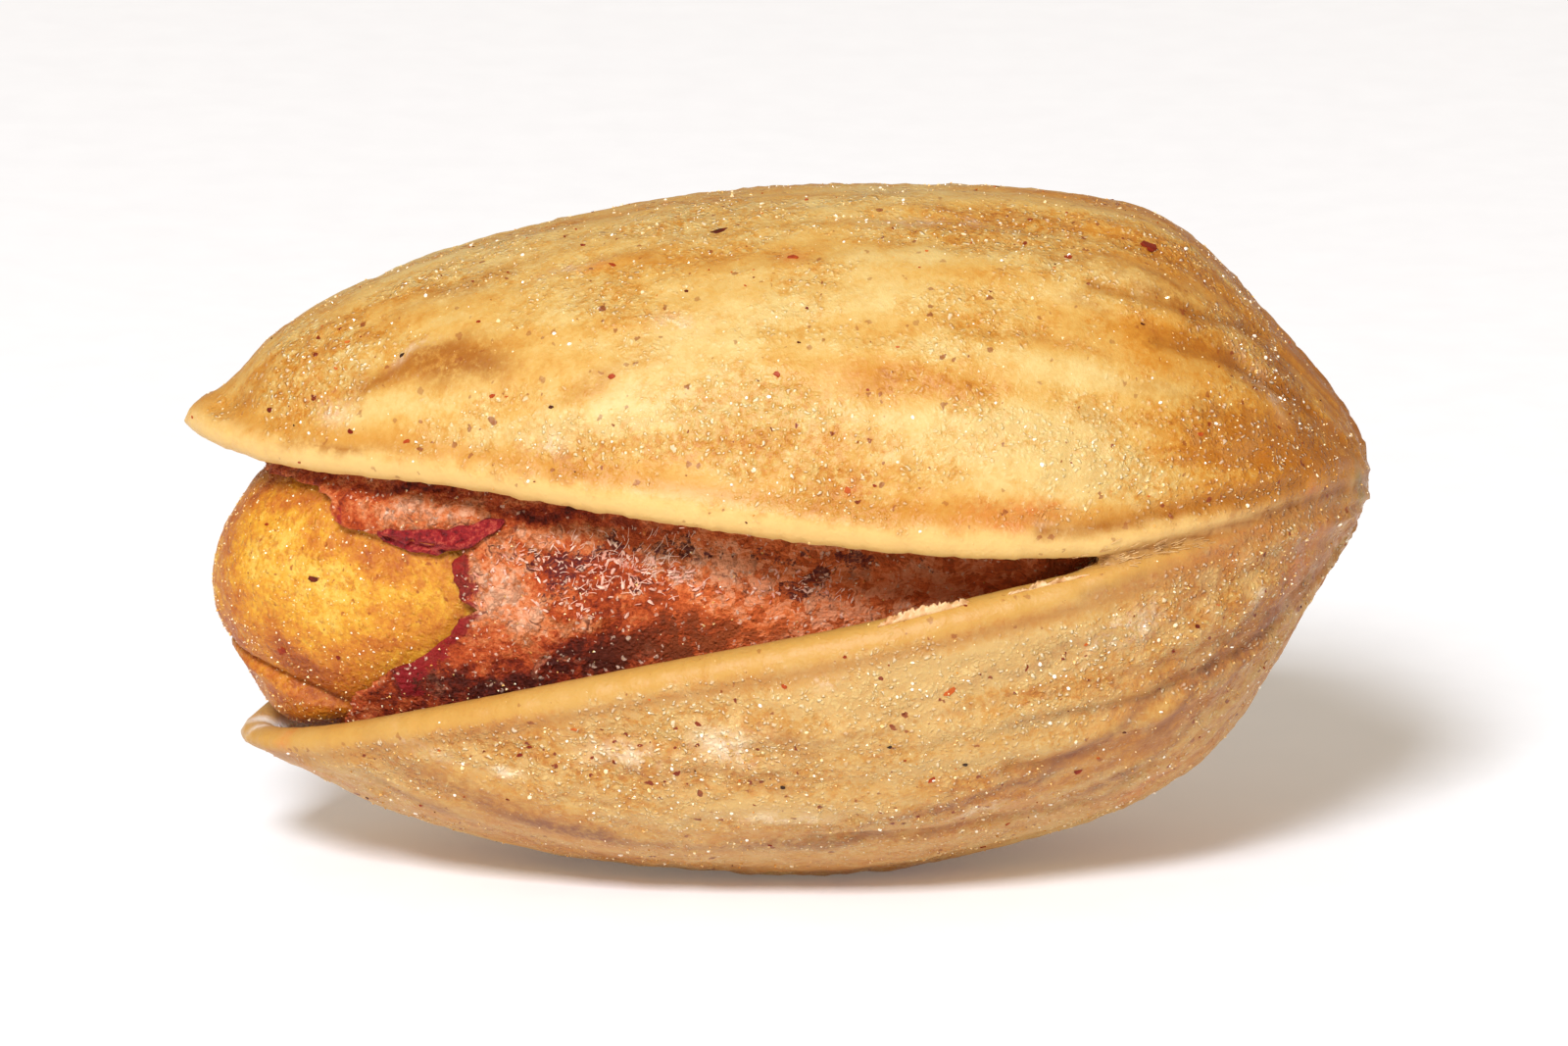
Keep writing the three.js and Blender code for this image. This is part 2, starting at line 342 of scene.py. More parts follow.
FLOUR_PATCHES = [
    (738, 762, 0.5, 0.3, 0, 1.1), (640, 775, 0.6, 0.2, 0, 0.7), (517, 791, 0.2, 0.1, -10, 1.2),
    (1150, 640, 0.6, 0.25, 20, 0.8), (1283, 613, 0.17, 0.12, 20, 1.8), (800, 838, 0.9, 0.14, 0, 0.7),
    (1000, 830, 0.6, 0.14, 10, 0.7), (560, 455, 0.4, 0.2, 0, 0.7), (1060, 537, 0.4, 0.1, 0, 1.0),
    (1330, 560, 0.6, 0.3, 50, 0.6), (845, 690, 0.3, 0.12, 0, 0.8), (420, 362, 0.4, 0.08, 16, 1.0),
    (340, 420, 0.4, 0.2, 0, 0.6), (960, 225, 1.0, 0.12, 0, 0.7), (1290, 392, 0.6, 0.2, -40, 0.8),
    (420, 760, 1.0, 0.1, -16, 0.6), (690, 330, 0.4, 0.2, 0, 0.5), (590, 272, 0.5, 0.12, 10, 0.7),
]
# Painted light: lining colour laid in near-white patches on the shaded inside of the lower tip
LINING_PAINTED_LIGHT_PATCHES = [(280, 738, 0.4, 0.18, -20, 1.0), (264, 740, 0.2, 0.14, 0, 0.8)]
SHELL_MARKS = {
    "brown": BROWN_STAINS, "grey": GREY_STAINS, "pale": PALE_PATCHES, "crust": CRUSTS,
    "blush": BLUSHES, "green": GREEN_TINT, "flour": FLOUR_PATCHES, "lining": LINING_PAINTED_LIGHT_PATCHES,
}

# Creases that run along the shell, each a line of (pixel x, pixel y)
CREASES = [
    [(1290, 655), (1260, 673), (1225, 690), (1176, 713), (1110, 726), (1030, 742)],
    [(1176, 779), (1128, 815), (1048, 834), (946, 850), (826, 859)],
    [(1119, 766), (1066, 783), (1030, 788)],
    [(1330, 492), (1307, 496), (1240, 512), (1163, 530), (1111, 540), (1060, 543)],
    [(1122, 573), (1161, 562), (1234, 546), (1282, 531), (1338, 510), (1376, 500)],
    [(1110, 606), (1177, 585), (1243, 560), (1290, 541)],
    [(1291, 336), (1215, 318), (1111, 290)],
    [(1335, 412), (1270, 372), (1180, 345)],
    [(1335, 590), (1300, 640), (1240, 700)],
]
CREASE_STEP_PX = 3
CREASE_REACH_MM = 0.13


class ShellPoint:
    """Where a point of the shell lies: distances are in mm, and around is measured from the front seam."""

    def __init__(self, co, normal):
        self.co = co / MM
        x, y, z = self.co
        seam_z = seam_height(x)
        self.upper = z > seam_z
        past_lip = z - along_curve(UPPER_LIP, x) if self.upper else along_curve(LOWER_LIP, x) - z
        self.from_lip = max(0.0, past_lip) + 0.25 * smooth_step(6.5, 9.0, x)
        self.around = math.atan2(z - SPINE_Z, -y)
        outward = normal.dot(Vector((0.6 * x, y, z - SPINE_Z)).normalized())
        self.outside = smooth_step(-0.35, 0.0, outward)
        self.lining = smooth_step(0.0, 0.15, self.from_lip) * (1 - self.outside)
        middle, reach = (0.5, 0.16) if self.upper else (0.34, 0.14)
        self.groove = self.outside * hump(self.from_lip - middle, reach)
        fused = smooth_step(NOTCH_X - 0.1, NOTCH_X + 0.3, x)
        self.seam = fused * hump(z - seam_z, 0.075)
        self.stem_end = smooth_step(6.0, 8.5, x)
        self.ridge = self.ridge_height()

    def drawn_out(self, lengthwise, round_about, seed):
        """Noise that is drawn out along the nut and closes on itself round it."""
        return noise.noise(Vector((
            self.co.x * lengthwise + seed,
            math.cos(self.around) * round_about,
            math.sin(self.around) * round_about)))

    def ridge_height(self):
        """Low ridges that run along the shell and fan out from the stem end, in mm."""
        stemward = smooth_step(-5, 7, self.co.x)
        wide = self.drawn_out(0.1, 4.0, 3.0)
        fine = self.drawn_out(0.12, 11.0, 15.0)
        if self.upper:
            return lerp(0.03, 0.08, stemward) * wide + lerp(0.01, 0.05, stemward) * fine
        return lerp(0.05, 0.09, stemward) * wide + lerp(0.03, 0.085, stemward) * fine

    def tone(self):
        """How dark the shell is here, in streaks along it, with its top made paler as painted light: 0 is
        pale and 1 is brown.
        """
        streaks = 0.18 * self.drawn_out(0.22, 5.0, 40.0) + 0.24 * self.drawn_out(0.3, 12.0, 60.0)
        if not self.upper:
            streaks *= 1.6
        clouds = rough(self.co, (0.2, 0.35), (0.16, 1.1))
        towards_stem = (0.5 if self.upper else 0.32) * smooth_step(4.5, 9, self.co.x)
        towards_tip = 0.1 * smooth_step(-5, -9.5, self.co.x)
        # Painted light: the top of the shell is made paler, as if more light fell on it
        painted_light_on_top = -0.08 * smooth_step(9.0, 11.2, self.co.z)
        return 0.42 + streaks + clouds + towards_stem + towards_tip + painted_light_on_top

    def crust(self):
        """How much of the shell its rough crust covers on its own account, from 0 to 1."""
        x, y, z = self.co
        patches = noise.fractal(Vector((x * 0.45, y * 0.9, z * 0.9)), 0.7, 2.1, 4)
        bias = 0.25 if self.upper else 0.5
        return smooth_step(-0.3, 0.8, patches + bias)

    def relief(self, crust, crease):
        """How far the outside of the shell is raised here, in mm."""
        co = self.co
        away = smooth_step(0.15, 0.6, self.from_lip)
        lumps = rough(co, (0.05, 0.45), (0.022, 1.3))
        crumbs = (noise.turbulence(co * 3.2, 3, False) - 0.4) * lerp(0.01, 0.06, crust)
        groove = -0.05 * self.groove - 0.05 * crease
        long_wave = 0.03 * noise.noise(Vector((co.x * 2.5, 0, 5)))
        short_wave = 0.025 * noise.noise(Vector((co.x * 6, 0, 9)))
        ragged = (1 - away) * (long_wave + short_wave)
        seam = -0.05 * self.seam * (1 - self.stem_end) * (1 + noise.noise(co * 4))
        grain = rough(co, (0.01, 3.5))
        return away * (lumps + self.ridge + crumbs) + groove + ragged + seam + grain


def crease_cover(tree, places):
    """How near each place lies to a crease: 1 is on one, and 0 is well away."""
    spots = []
    for line in CREASES:
        for start, end in zip(line, line[1:]):
            count = round(math.dist(start, end) / CREASE_STEP_PX)
            for step in range(count):
                pixel = [lerp(low, high, step / count) for low, high in zip(start, end)]
                spots.append(seen_point(tree, *pixel)[0])
    found = KDTree(len(spots))
    for index, spot in enumerate(spots):
        found.insert(spot, index)
    found.balance()
    return np.array([hump(found.find(place)[2] / MM, CREASE_REACH_MM) for place in places])


def part_lips(piece):
    """Holds the narrow end of the gape wide open, so that an even mesh doesn't close it."""
    for vertex in piece.data.vertices:
        x, _, z = vertex.co / MM
        above = z - seam_height(x)
        narrow = smooth_step(3.4, 4.6, x) if x < NOTCH_X else 0.0
        side = 1 if above > 0 else -1
        vertex.co.z += side * 0.16 * narrow * hump(above, 0.6) * MM


def shape_ends(piece):
    """Gives the upper tip its blunt nose with a dip behind it, and the stem end its full shoulders."""
    for vertex in piece.data.vertices:
        x, _, z = vertex.co / MM
        above_lip = smooth_step(0.0, 0.5, z - along_curve(UPPER_LIP, x))
        nose = above_lip * (0.12 * hump(x + 9.75, 0.25) - 0.1 * hump(x + 9.1, 0.3))
        shoulder = 0.11 * hump(x - 6.3, 1.7) * smooth_step(8.5, 10.5, z)
        belly = -0.2 * hump(x - 7.0, 1.5) * smooth_step(4.6, 2.4, z)
        vertex.co.z += (nose + shoulder + belly) * MM


def make_shell():
    """The shell: an even fine mesh laid onto the node's surface, then given its relief."""
    piece = new_piece(merged_copy("shell"), "shell_fine")
    shape_by(piece, "SUBSURF", levels=1, render_levels=1)
    form = surface_of(piece)
    part_lips(piece)
    shape_by(piece, "REMESH", mode="VOXEL", voxel_size=SHELL_VOXEL_MM * MM)
    shape_by(piece, "SMOOTH", factor=0.5, iterations=4)
    for vertex in piece.data.vertices:
        vertex.co = vertex.co.lerp(form.find_nearest(vertex.co)[0], 0.85)
    shape_by(piece, "SMOOTH", factor=0.5, iterations=2)
    shape_ends(piece)
    tree = surface_of(piece)
    vertices = piece.data.vertices
    points = [ShellPoint(v.co, v.normal) for v in vertices]
    layers = painted(tree, piece, SHELL_MARKS)
    own_crust = np.array([p.crust() for p in points])
    layers["crust"] = np.clip(0.8 * layers["crust"] + 0.6 * own_crust, 0.0, 1.0)
    layers["tone"] = np.array([p.tone() for p in points]) - 0.45 * layers.pop("pale")
    layers["lining"] = np.clip(np.array([p.lining for p in points]) + layers["lining"], 0.0, 1.0)
    layers["crease"] = crease_cover(tree, [v.co for v in vertices])
    for name in ("groove", "from_lip", "upper", "seam", "ridge"):
        layers[name] = [getattr(p, name) for p in points]
    write_attributes(piece, layers)
    moves = [
        v.normal * (p.outside * p.relief(crust, crease) * MM)
        for v, p, crust, crease in zip(vertices, points, layers["crust"], layers["crease"])]
    for vertex, move in zip(vertices, moves):
        vertex.co += move
        vertex.co.z = min(max(0.0, vertex.co.z), cad_box[1][2])
    return piece


# Kernel: form

BRIGHT_PATCHES = [
    (290, 545, 0.7, 0.5, 0, 0.8), (320, 600, 0.9, 0.5, 0, 1.0), (255, 585, 0.3, 0.7, 0, 0.6),
    (345, 640, 0.7, 0.3, 0, 0.7), (360, 590, 0.6, 0.4, 0, 0.6), (435, 612, 0.45, 0.5, 0, 0.8),
]
TOASTED_PATCHES = [
    (300, 512, 0.8, 0.2, -10, 1.0), (395, 572, 0.9, 0.25, 8, 0.8), (235, 540, 0.25, 0.8, -20, 0.8),
    (240, 640, 0.3, 0.7, 20, 0.8), (350, 555, 0.5, 0.2, 0, 0.7),
]
RUSSET_PATCHES = [
    (290, 662, 0.7, 0.25, -15, 0.8), (375, 655, 0.6, 0.22, 10, 0.9), (330, 700, 0.6, 0.25, -20, 0.7),
    (265, 505, 0.3, 0.15, 20, 0.8), (340, 690, 0.5, 0.2, 0, 0.6),
]
KERNEL_MARKS = {"bright": BRIGHT_PATCHES, "toasted": TOASTED_PATCHES, "russet": RUSSET_PATCHES}


def kernel_axis_z(x):
    """Height of the kernel's axis at x, in mm."""
    share = (x - KERNEL_TIP_X) / (KERNEL_STEM_X - KERNEL_TIP_X)
    return lerp(KERNEL_TIP_Z, KERNEL_STEM_Z, share)


def turn_of(co):
    """Angle of a point in mm round the kernel's axis: 0 in front, and a quarter turn on top."""
    return math.atan2(co.z - kernel_axis_z(co.x), -co.y)


def make_kernel():
    """The seed: an egg with the crevice between its seed leaves, the lower of which stands out at the tip."""
    low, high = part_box("kernel")
    middle = (low + high) / 2
    half = (high - low) / 2
    lean = (KERNEL_STEM_Z - KERNEL_TIP_Z) * MM / (high.x - low.x)
    half_height = half.z - 0.03 * MM
    shape = bmesh.new()
    bmesh.ops.create_icosphere(shape, subdivisions=KERNEL_SUBDIVISIONS, radius=1.0)
    bmesh.ops.scale(shape, vec=(half.x, half.y, half_height), verts=shape.verts)
    for vertex in shape.verts:
        vertex.co.z += vertex.co.x * lean
    bmesh.ops.translate(shape, vec=middle, verts=shape.verts)
    shape.normal_update()
    for vertex in shape.verts:
        co = vertex.co / MM
        from_start = co - CREVICE_START
        above = from_start.z + CREVICE_FALL * from_start.x - CREVICE_ROLL * from_start.y
        near_tip = 1 - smooth_step(-8.0, -6.9, co.x)
        crevice = -0.3 * hump(above, 0.06) * near_tip
        lower_leaf = (0.1 + 0.25 * hump(co.z - 2.85, 0.4)) * near_tip * smooth_step(0.05, -0.15, above)
        lumps = rough(co, (0.07, 0.6), (0.03, 1.7))
        pores = 0.02 * (noise.turbulence(co * 3.5, 3, False) - 0.4)
        vertex.co += vertex.normal * (crevice + lower_leaf + lumps + pores - 0.03) * MM
    piece = new_piece(shape, "kernel_fine")
    write_attributes(piece, painted(surface_of(piece), piece, KERNEL_MARKS))
    return piece


# Seed skin: form

# Torn edge of the skin where the photograph shows it, as (pixel x, pixel y), from its top down
TORN_EDGE = [
    (262, 482), (275, 497), (300, 501), (325, 506), (335, 516), (340, 532), (350, 543), (385, 548),
    (430, 556), (478, 563), (462, 572), (459, 582), (467, 596), (472, 610), (488, 619), (470, 625),
    (459, 641), (432, 660), (413, 669), (388, 681), (362, 697), (352, 722), (352, 738),
]
PINK_PATCHES = [
    (530, 630, 0.7, 0.45, 0, 1.2), (505, 585, 0.5, 0.45, 0, 1.1), (440, 525, 1.1, 0.2, -8, 0.7),
    (600, 640, 0.4, 0.2, 10, 0.7), (560, 550, 0.7, 0.2, 0, 0.8), (735, 578, 0.8, 0.3, 0, 0.9),
    (830, 590, 1.2, 0.2, 0, 0.5), (940, 585, 1.0, 0.15, 0, 0.4), (680, 560, 0.6, 0.3, 0, 0.7),
]
# Orange patches; those near the narrow end of the gape also serve as painted light where the lips shade the
# skin
ORANGE_AND_PAINTED_LIGHT_PATCHES = [
    (400, 520, 1.0, 0.25, -6, 1.0), (480, 530, 0.7, 0.2, -8, 0.8), (840, 630, 1.2, 0.3, 8, 0.5),
    (900, 605, 1.2, 0.2, 6, 0.7), (960, 600, 1.2, 0.3, 10, 1.0), (760, 560, 1.0, 0.15, 0, 0.6),
    (1000, 582, 0.9, 0.12, 0, 0.7), (450, 680, 0.8, 0.12, 10, 0.5),
]
PURPLE_PATCHES = [
    (552, 572, 0.45, 0.16, -14, 1.1), (575, 590, 0.4, 0.25, 30, 1.1), (620, 560, 0.4, 0.3, 30, 0.8),
    (592, 625, 0.1, 0.3, 0, 0.8), (650, 600, 0.5, 0.2, 0, 0.7), (690, 555, 0.6, 0.25, 0, 0.7),
    (822, 598, 0.6, 0.3, 0, 1.0), (780, 565, 0.7, 0.15, 0, 0.8), (860, 570, 0.5, 0.15, 0, 0.8),
    (720, 600, 0.6, 0.15, 0, 0.5), (950, 575, 0.6, 0.1, 0, 0.6), (440, 660, 0.5, 0.1, 25, 0.9),
]
DARK_PATCHES = [
    (425, 690, 0.7, 0.22, -8, 1.4), (470, 700, 0.6, 0.15, 0, 1.0), (1070, 580, 0.9, 0.3, 0, 1.0),
    (420, 500, 0.9, 0.1, -8, 1.0), (540, 692, 1.5, 0.25, 12, 0.8), (680, 662, 1.2, 0.18, 12, 0.7),
    (265, 492, 0.2, 0.2, 0, 0.6), (480, 708, 1.2, 0.25, 11, 0.9), (600, 680, 1.2, 0.22, 12, 0.8),
    (760, 646, 1.0, 0.15, 12, 0.6), (630, 662, 1.6, 0.3, 12, 0.5), (390, 712, 0.5, 0.2, 11, 0.5),
    (680, 635, 1.3, 0.35, 8, 0.35), (560, 525, 1.0, 0.1, -8, 0.7), (700, 540, 1.2, 0.08, -6, 0.6),
]
PALE_THREADS = [
    (645, 580, 0.8, 0.4, 0, 0.75), (690, 590, 0.4, 0.3, 0, 0.6), (550, 560, 0.7, 0.2, 0, 0.6),
    (590, 600, 0.5, 0.4, 0, 0.6), (830, 600, 0.7, 0.3, 0, 0.6), (310, 500, 0.5, 0.1, -8, 0.8),
]
CRIMSON_PATCHES = [
    (468, 590, 0.2, 0.5, 10, 1.2), (478, 618, 0.3, 0.14, 0, 1.0), (464, 648, 0.5, 0.16, 38, 1.2),
    (490, 545, 0.6, 0.12, 10, 0.7), (412, 678, 0.4, 0.14, 25, 1.0), (348, 530, 0.1, 0.3, 0, 0.5),
    (440, 664, 0.5, 0.16, 32, 1.2), (462, 580, 0.16, 0.3, 0, 0.8),
]
SKIN_MARKS = {
    "pink": PINK_PATCHES, "orange_and_painted_light": ORANGE_AND_PAINTED_LIGHT_PATCHES, "purple": PURPLE_PATCHES, "dark": DARK_PATCHES,
    "threads": PALE_THREADS, "crimson": CRIMSON_PATCHES,
}

# How far the skin stands out where it fills the narrow end of the gape
NOTCH_BULGE_MM = 1.1


class TornEdge:
    """The torn edge of the skin: its place along the kernel at each angle round it, in mm."""
    STEPS = 320
    EASE = 1.2

    def __init__(self, vertices, kernel_tree):
        self.node_edge = [math.inf] * self.STEPS
        for vertex in vertices:
            co = vertex.co / MM
            step = self.step(turn_of(co))
            self.node_edge[step] = min(self.node_edge[step], co.x)
        hits = [seen_point(kernel_tree, *pixel)[0] / MM for pixel in TORN_EDGE]
        self.seen = sorted((turn_of(hit), hit.x) for hit in hits)

    def step(self, turn):
        """The number of the step round the kernel that holds an angle."""
        return round(turn / math.tau * self.STEPS) % self.STEPS

    def distance(self, co):
        """How far a point lies behind the edge that the node has."""
        return co.x - self.node_edge[self.step(turn_of(co))]

    def shift(self, turn):
        """How far the edge moves along the kernel to lie where the photograph shows it."""
        lowest, highest = self.seen[0][0], self.seen[-1][0]
        inside = min(max(turn, lowest), highest)
        away = abs(turn - inside)
        coarse = 0.09 * noise.noise(Vector((turn * 14, 0, 7)))
        fine = 0.06 * noise.noise(Vector((turn * 37, 0, 3)))
        place = along_curve(self.seen, inside) + (coarse + fine)
        return (place - self.node_edge[self.step(inside)]) * (1 - smooth_step(0, self.EASE, away))


def make_skin(kernel):
    """The seed skin, its torn edge drawn to where the photograph shows it, wrinkled and flaked."""
    piece = new_piece(merged_copy("kernel_skin"), "kernel_skin_fine")
    shape_by(piece, "SUBSURF", levels=SKIN_LEVELS, render_levels=SKIN_LEVELS)
    vertices = piece.data.vertices
    edge = TornEdge(vertices, surface_of(kernel))
    low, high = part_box("kernel")
    middle_x = (low.x + high.x) / 2 / MM
    half_x = (high.x - low.x) / 2 / MM + 0.4

    def girth(x):
        return math.sqrt(max(0.02, 1 - ((x - middle_x) / half_x) ** 2))

    from_edge = [edge.distance(v.co / MM) for v in vertices]
    for vertex, distance in zip(vertices, from_edge):
        co = vertex.co / MM
        moved_x = co.x + edge.shift(turn_of(co)) * (1 - smooth_step(0, 3.2, distance))
        growth = girth(moved_x) / girth(co.x)
        height = (co.z - kernel_axis_z(co.x)) * growth
        vertex.co = Vector((moved_x, co.y * growth, kernel_axis_z(moved_x) + height)) * MM
    layers = painted(surface_of(piece), piece, SKIN_MARKS)
    write_attributes(piece, layers)
    for vertex, distance, flaky, sunk in zip(vertices, from_edge, layers["pink"], layers["purple"]):
        co = vertex.co / MM
        out = Vector((0, co.y, co.z - kernel_axis_z(co.x))).normalized()
        wrinkles = 0.05 * noise.noise(Vector((co.x * 0.9, co.y * 2, co.z * 2)))
        crumbs = 0.07 * (noise.turbulence(co * 2.4, 4, False) - 0.5)
        curl = 0.06 * hump(distance, 0.18)
        vertex.co += out * (wrinkles + crumbs + curl + 0.05 * flaky - 0.05 * sunk) * MM
        bulge = NOTCH_BULGE_MM * hump(co.x - 4.9, 1.6) * hump(co.z - seam_height(co.x), 1.1)
        vertex.co.y += math.copysign(bulge, co.y) * smooth_step(1.0, 2.2, abs(co.y)) * MM
    return piece


# Small pieces that lie on the others

FLAP_LINE = [(388, 545), (415, 551), (447, 553), (480, 547), (514, 530)]
FLAP_HALF_HEIGHT_PX = 12.5
FLAP_LIFT_MM = 0.1
FLAP_THICKNESS_MM = 0.05


def new_sheet(shape, name, thickness_mm):
    """A bmesh of thin sheets as a piece with a thickness."""
    bmesh.ops.recalc_face_normals(shape, faces=shape.faces)
    bmesh.ops.solidify(shape, geom=shape.faces[:], thickness=thickness_mm * MM)
    return new_piece(shape, name)


def make_flap(tree):
    """The curled crimson tongue of skin that hangs from the torn edge."""
    shape = bmesh.new()
    bmesh.ops.create_grid(shape, x_segments=24, y_segments=6, size=1.0)
    for vertex in shape.verts:
        along, across = vertex.co.x, vertex.co.y
        px = lerp(FLAP_LINE[0][0], FLAP_LINE[-1][0], (along + 1) / 2)
        half_height = FLAP_HALF_HEIGHT_PX * math.sqrt(max(0.004, 1 - along ** 2))
        py = along_curve(FLAP_LINE, px) - across * half_height
        py += 3 * noise.noise(Vector((along * 5, across, 4)))
        point, _ = seen_point(tree, px, py)
        lift = FLAP_LIFT_MM * (1 - 0.5 * along ** 2) * (1 + 0.7 * hump(across + 1, 0.7))
        ripple = 0.03 * noise.noise(Vector((along * 4, across * 2, 9)))
        vertex.co = point - FORWARD * (lift + ripple) * MM
    return new_sheet(shape, "skin_flap", FLAP_THICKNESS_MM)


# Salt: counts of faces drawn, the share of them kept off the crust, and sizes in mm
SALT_SEED = 11
SALT_GRAINS = 6000
SHELL_DUST = 27000
KERNEL_DUST = 2600
SKIN_DUST = 6000
GRAINS_OFF_CRUST = 0.06
DUST_OFF_CRUST = 0.12
GRAIN_MM = (0.016, 0.042)
DUST_MM = (0.012, 0.034)
DUST_STRAY_MM = 0.05
SALT_FLOOR_MM = 0.4
SALT_MARGIN_MM = 0.05
KERNEL_BARE_X = -6.0
BATCH = 300


def random_turn(draw):
    """A turn by any angle round a random axis."""
    axis = Vector((draw.uniform(-1, 1), draw.uniform(-1, 1), draw.uniform(0.1, 1)))
    return Matrix.Rotation(draw.uniform(0, math.tau), 4, axis)


def scatter(name, faces, seed, add):
    """A piece of many small shapes on faces, built in batches because operators are slow on a large bmesh."""
    draw = random.Random(seed)
    whole = bmesh.new()
    for start in range(0, len(faces), BATCH):
        batch = bmesh.new()
        for face in faces[start:start + BATCH]:
            add(batch, draw, face)
        mesh = bpy.data.meshes.new(name)
        batch.to_mesh(mesh)
        batch.free()
        whole.from_mesh(mesh)
        bpy.data.meshes.remove(mesh)
    return new_piece(whole, name)


def drawn_faces(piece, draw, count):
    """Faces drawn at random, evenly over the piece, but none that touch the box of the CAD model."""
    faces = list(piece.data.polygons)
    chosen = draw.choices(faces, weights=[f.area for f in faces], k=count)
    margin = Vector((SALT_MARGIN_MM * MM,) * 3)
    low, high = Vector(cad_box[0]) + margin, Vector(cad_box[1]) - margin
    return [f for f in chosen if all(a < b < c for a, b, c in zip(low, f.center, high))]


def is_outside(face):
    """Whether a face of the shell looks outward, well above the floor."""
    outward = face.normal.dot(Vector((0, face.center.y, face.center.z - SPINE_Z * MM)))
    return outward > 0 and face.center.z > SALT_FLOOR_MM * MM


def crusty_faces(shell, seed, count, least):
    """Faces of the outside of the shell drawn at random, most of them where its crust is."""
    draw = random.Random(seed)
    crust = shell.data.attributes["crust"].data
    from_lip = shell.data.attributes["from_lip"].data
    kept = []
    for face in drawn_faces(shell, draw, count):
        corner = face.vertices[0]
        share = lerp(least, 1.0, crust[corner].value ** 1.5)
        share *= lerp(0.15, 1.0, smooth_step(0.1, 0.6, from_lip[corner].value))
        if is_outside(face) and draw.random() < share:
            kept.append(face)
    return kept


def bare_faces(kernel, seed, count):
    """Faces of the bare tip of the kernel drawn at random."""
    faces = drawn_faces(kernel, random.Random(seed), count * 6)
    return [f for f in faces if f.center.x < KERNEL_BARE_X * MM][:count]


def add_grain(shape, draw, face):
    """A rounded grain of salt on a face."""
    size = lerp(*GRAIN_MM, draw.random() ** 2) * MM
    stretch = Matrix.Diagonal((draw.uniform(0.7, 1.5), draw.uniform(0.7, 1.3), draw.uniform(0.5, 1.0), 1.0))
    bmesh.ops.create_icosphere(
        shape, subdivisions=1, radius=size,
        matrix=Matrix.Translation(face.center) @ random_turn(draw) @ stretch)


def add_dust(shape, draw, face):
    """A sharp crumb of dust near the middle of a face."""
    size = lerp(*DUST_MM, draw.random() ** 1.5) * MM
    stray = Vector((draw.uniform(-1, 1), draw.uniform(-1, 1), draw.uniform(-1, 1))) * DUST_STRAY_MM * MM
    stray -= face.normal * stray.dot(face.normal)
    bmesh.ops.create_cone(
        shape, cap_ends=True, segments=3, radius1=size, radius2=0.0, depth=1.1 * size,
        matrix=Matrix.Translation(face.center + stray) @ random_turn(draw))


# Flecks are (pixel x, pixel y, length and width in mm, shade from 0 for black to 1 for tan)
FLECKS = [
    (735, 236, 0.56, 0.13, 0.1), (1172, 250, 0.38, 0.3, 0.35), (808, 262, 0.28, 0.16, 0.6),
    (793, 382, 0.16, 0.12, 0.6), (625, 384, 0.17, 0.12, 0.6), (410, 362, 0.16, 0.09, 0.0),
    (275, 418, 0.14, 0.1, 0.2), (357, 440, 0.15, 0.1, 0.3), (488, 328, 0.11, 0.09, 0.5),
    (595, 250, 0.12, 0.09, 0.4), (865, 500, 0.16, 0.16, 0.8), (1225, 443, 0.16, 0.1, 0.7),
    (908, 762, 0.12, 0.1, 0.0), (799, 803, 0.11, 0.09, 0.0), (1100, 787, 0.2, 0.13, 0.4),
    (951, 796, 0.17, 0.12, 0.6), (320, 591, 0.22, 0.15, 0.15), (287, 664, 0.26, 0.19, 0.5),
    (345, 671, 0.16, 0.1, 0.3), (272, 535, 0.12, 0.07, 0.5), (970, 705, 0.24, 0.13, 0.8),
    (1090, 262, 0.18, 0.12, 0.5), (530, 770, 0.14, 0.08, 0.3), (540, 762, 0.12, 0.08, 0.4),
    (625, 270, 0.16, 0.07, 0.5), (502, 404, 0.15, 0.08, 0.7), (415, 450, 0.18, 0.1, 0.6),
    (1222, 639, 0.13, 0.09, 0.2), (985, 780, 0.1, 0.08, 0.0), (800, 700, 0.14, 0.08, 0.6),
]
FLECK_SEED = 23
FLECK_THICKNESS_MM = 0.03
STRAY_FLECKS = 420
STRAY_FLECK_MM = (0.04, 0.13)


def add_fleck(shape, draw, spot, normal, length, width, roll=0.6):
    """A thin flake with an uneven outline, lying on a surface."""
    facing = normal.to_track_quat("Z", "Y").to_matrix().to_4x4()
    rolled = Matrix.Rotation(draw.uniform(-roll, roll), 4, "Z")
    size = Matrix.Diagonal((length / 2 * MM, width / 2 * MM, FLECK_THICKNESS_MM * MM, 1))
    corners = bmesh.ops.create_cone(
        shape, cap_ends=True, segments=7, radius1=1.0, radius2=0.8, depth=1.0,
        matrix=Matrix.Translation(spot) @ facing @ rolled @ size)["verts"]
    for corner in corners:
        corner.co += (corner.co - spot) * draw.uniform(-0.5, 0.25)
    return corners


def make_flecks(tree, shell):
    """Crumbs of seed skin on the shell and the kernel."""
    draw = random.Random(FLECK_SEED)
    shape = bmesh.new()
    shades = shape.verts.layers.float.new("shade")

    def add_shaded(shade, *fleck):
        for corner in add_fleck(shape, draw, *fleck):
            corner[shades] = shade

    for px, py, length, width, shade in FLECKS:
        add_shaded(shade, *seen_point(tree, px, py), length, width)
    for face in drawn_faces(shell, draw, STRAY_FLECKS):
        if is_outside(face):
            length = lerp(*STRAY_FLECK_MM, draw.random() ** 2)
            width = length * draw.uniform(0.35, 0.7)
            add_shaded(draw.random(), face.center, face.normal, length, width)
    return new_piece(shape, "skin_flecks")


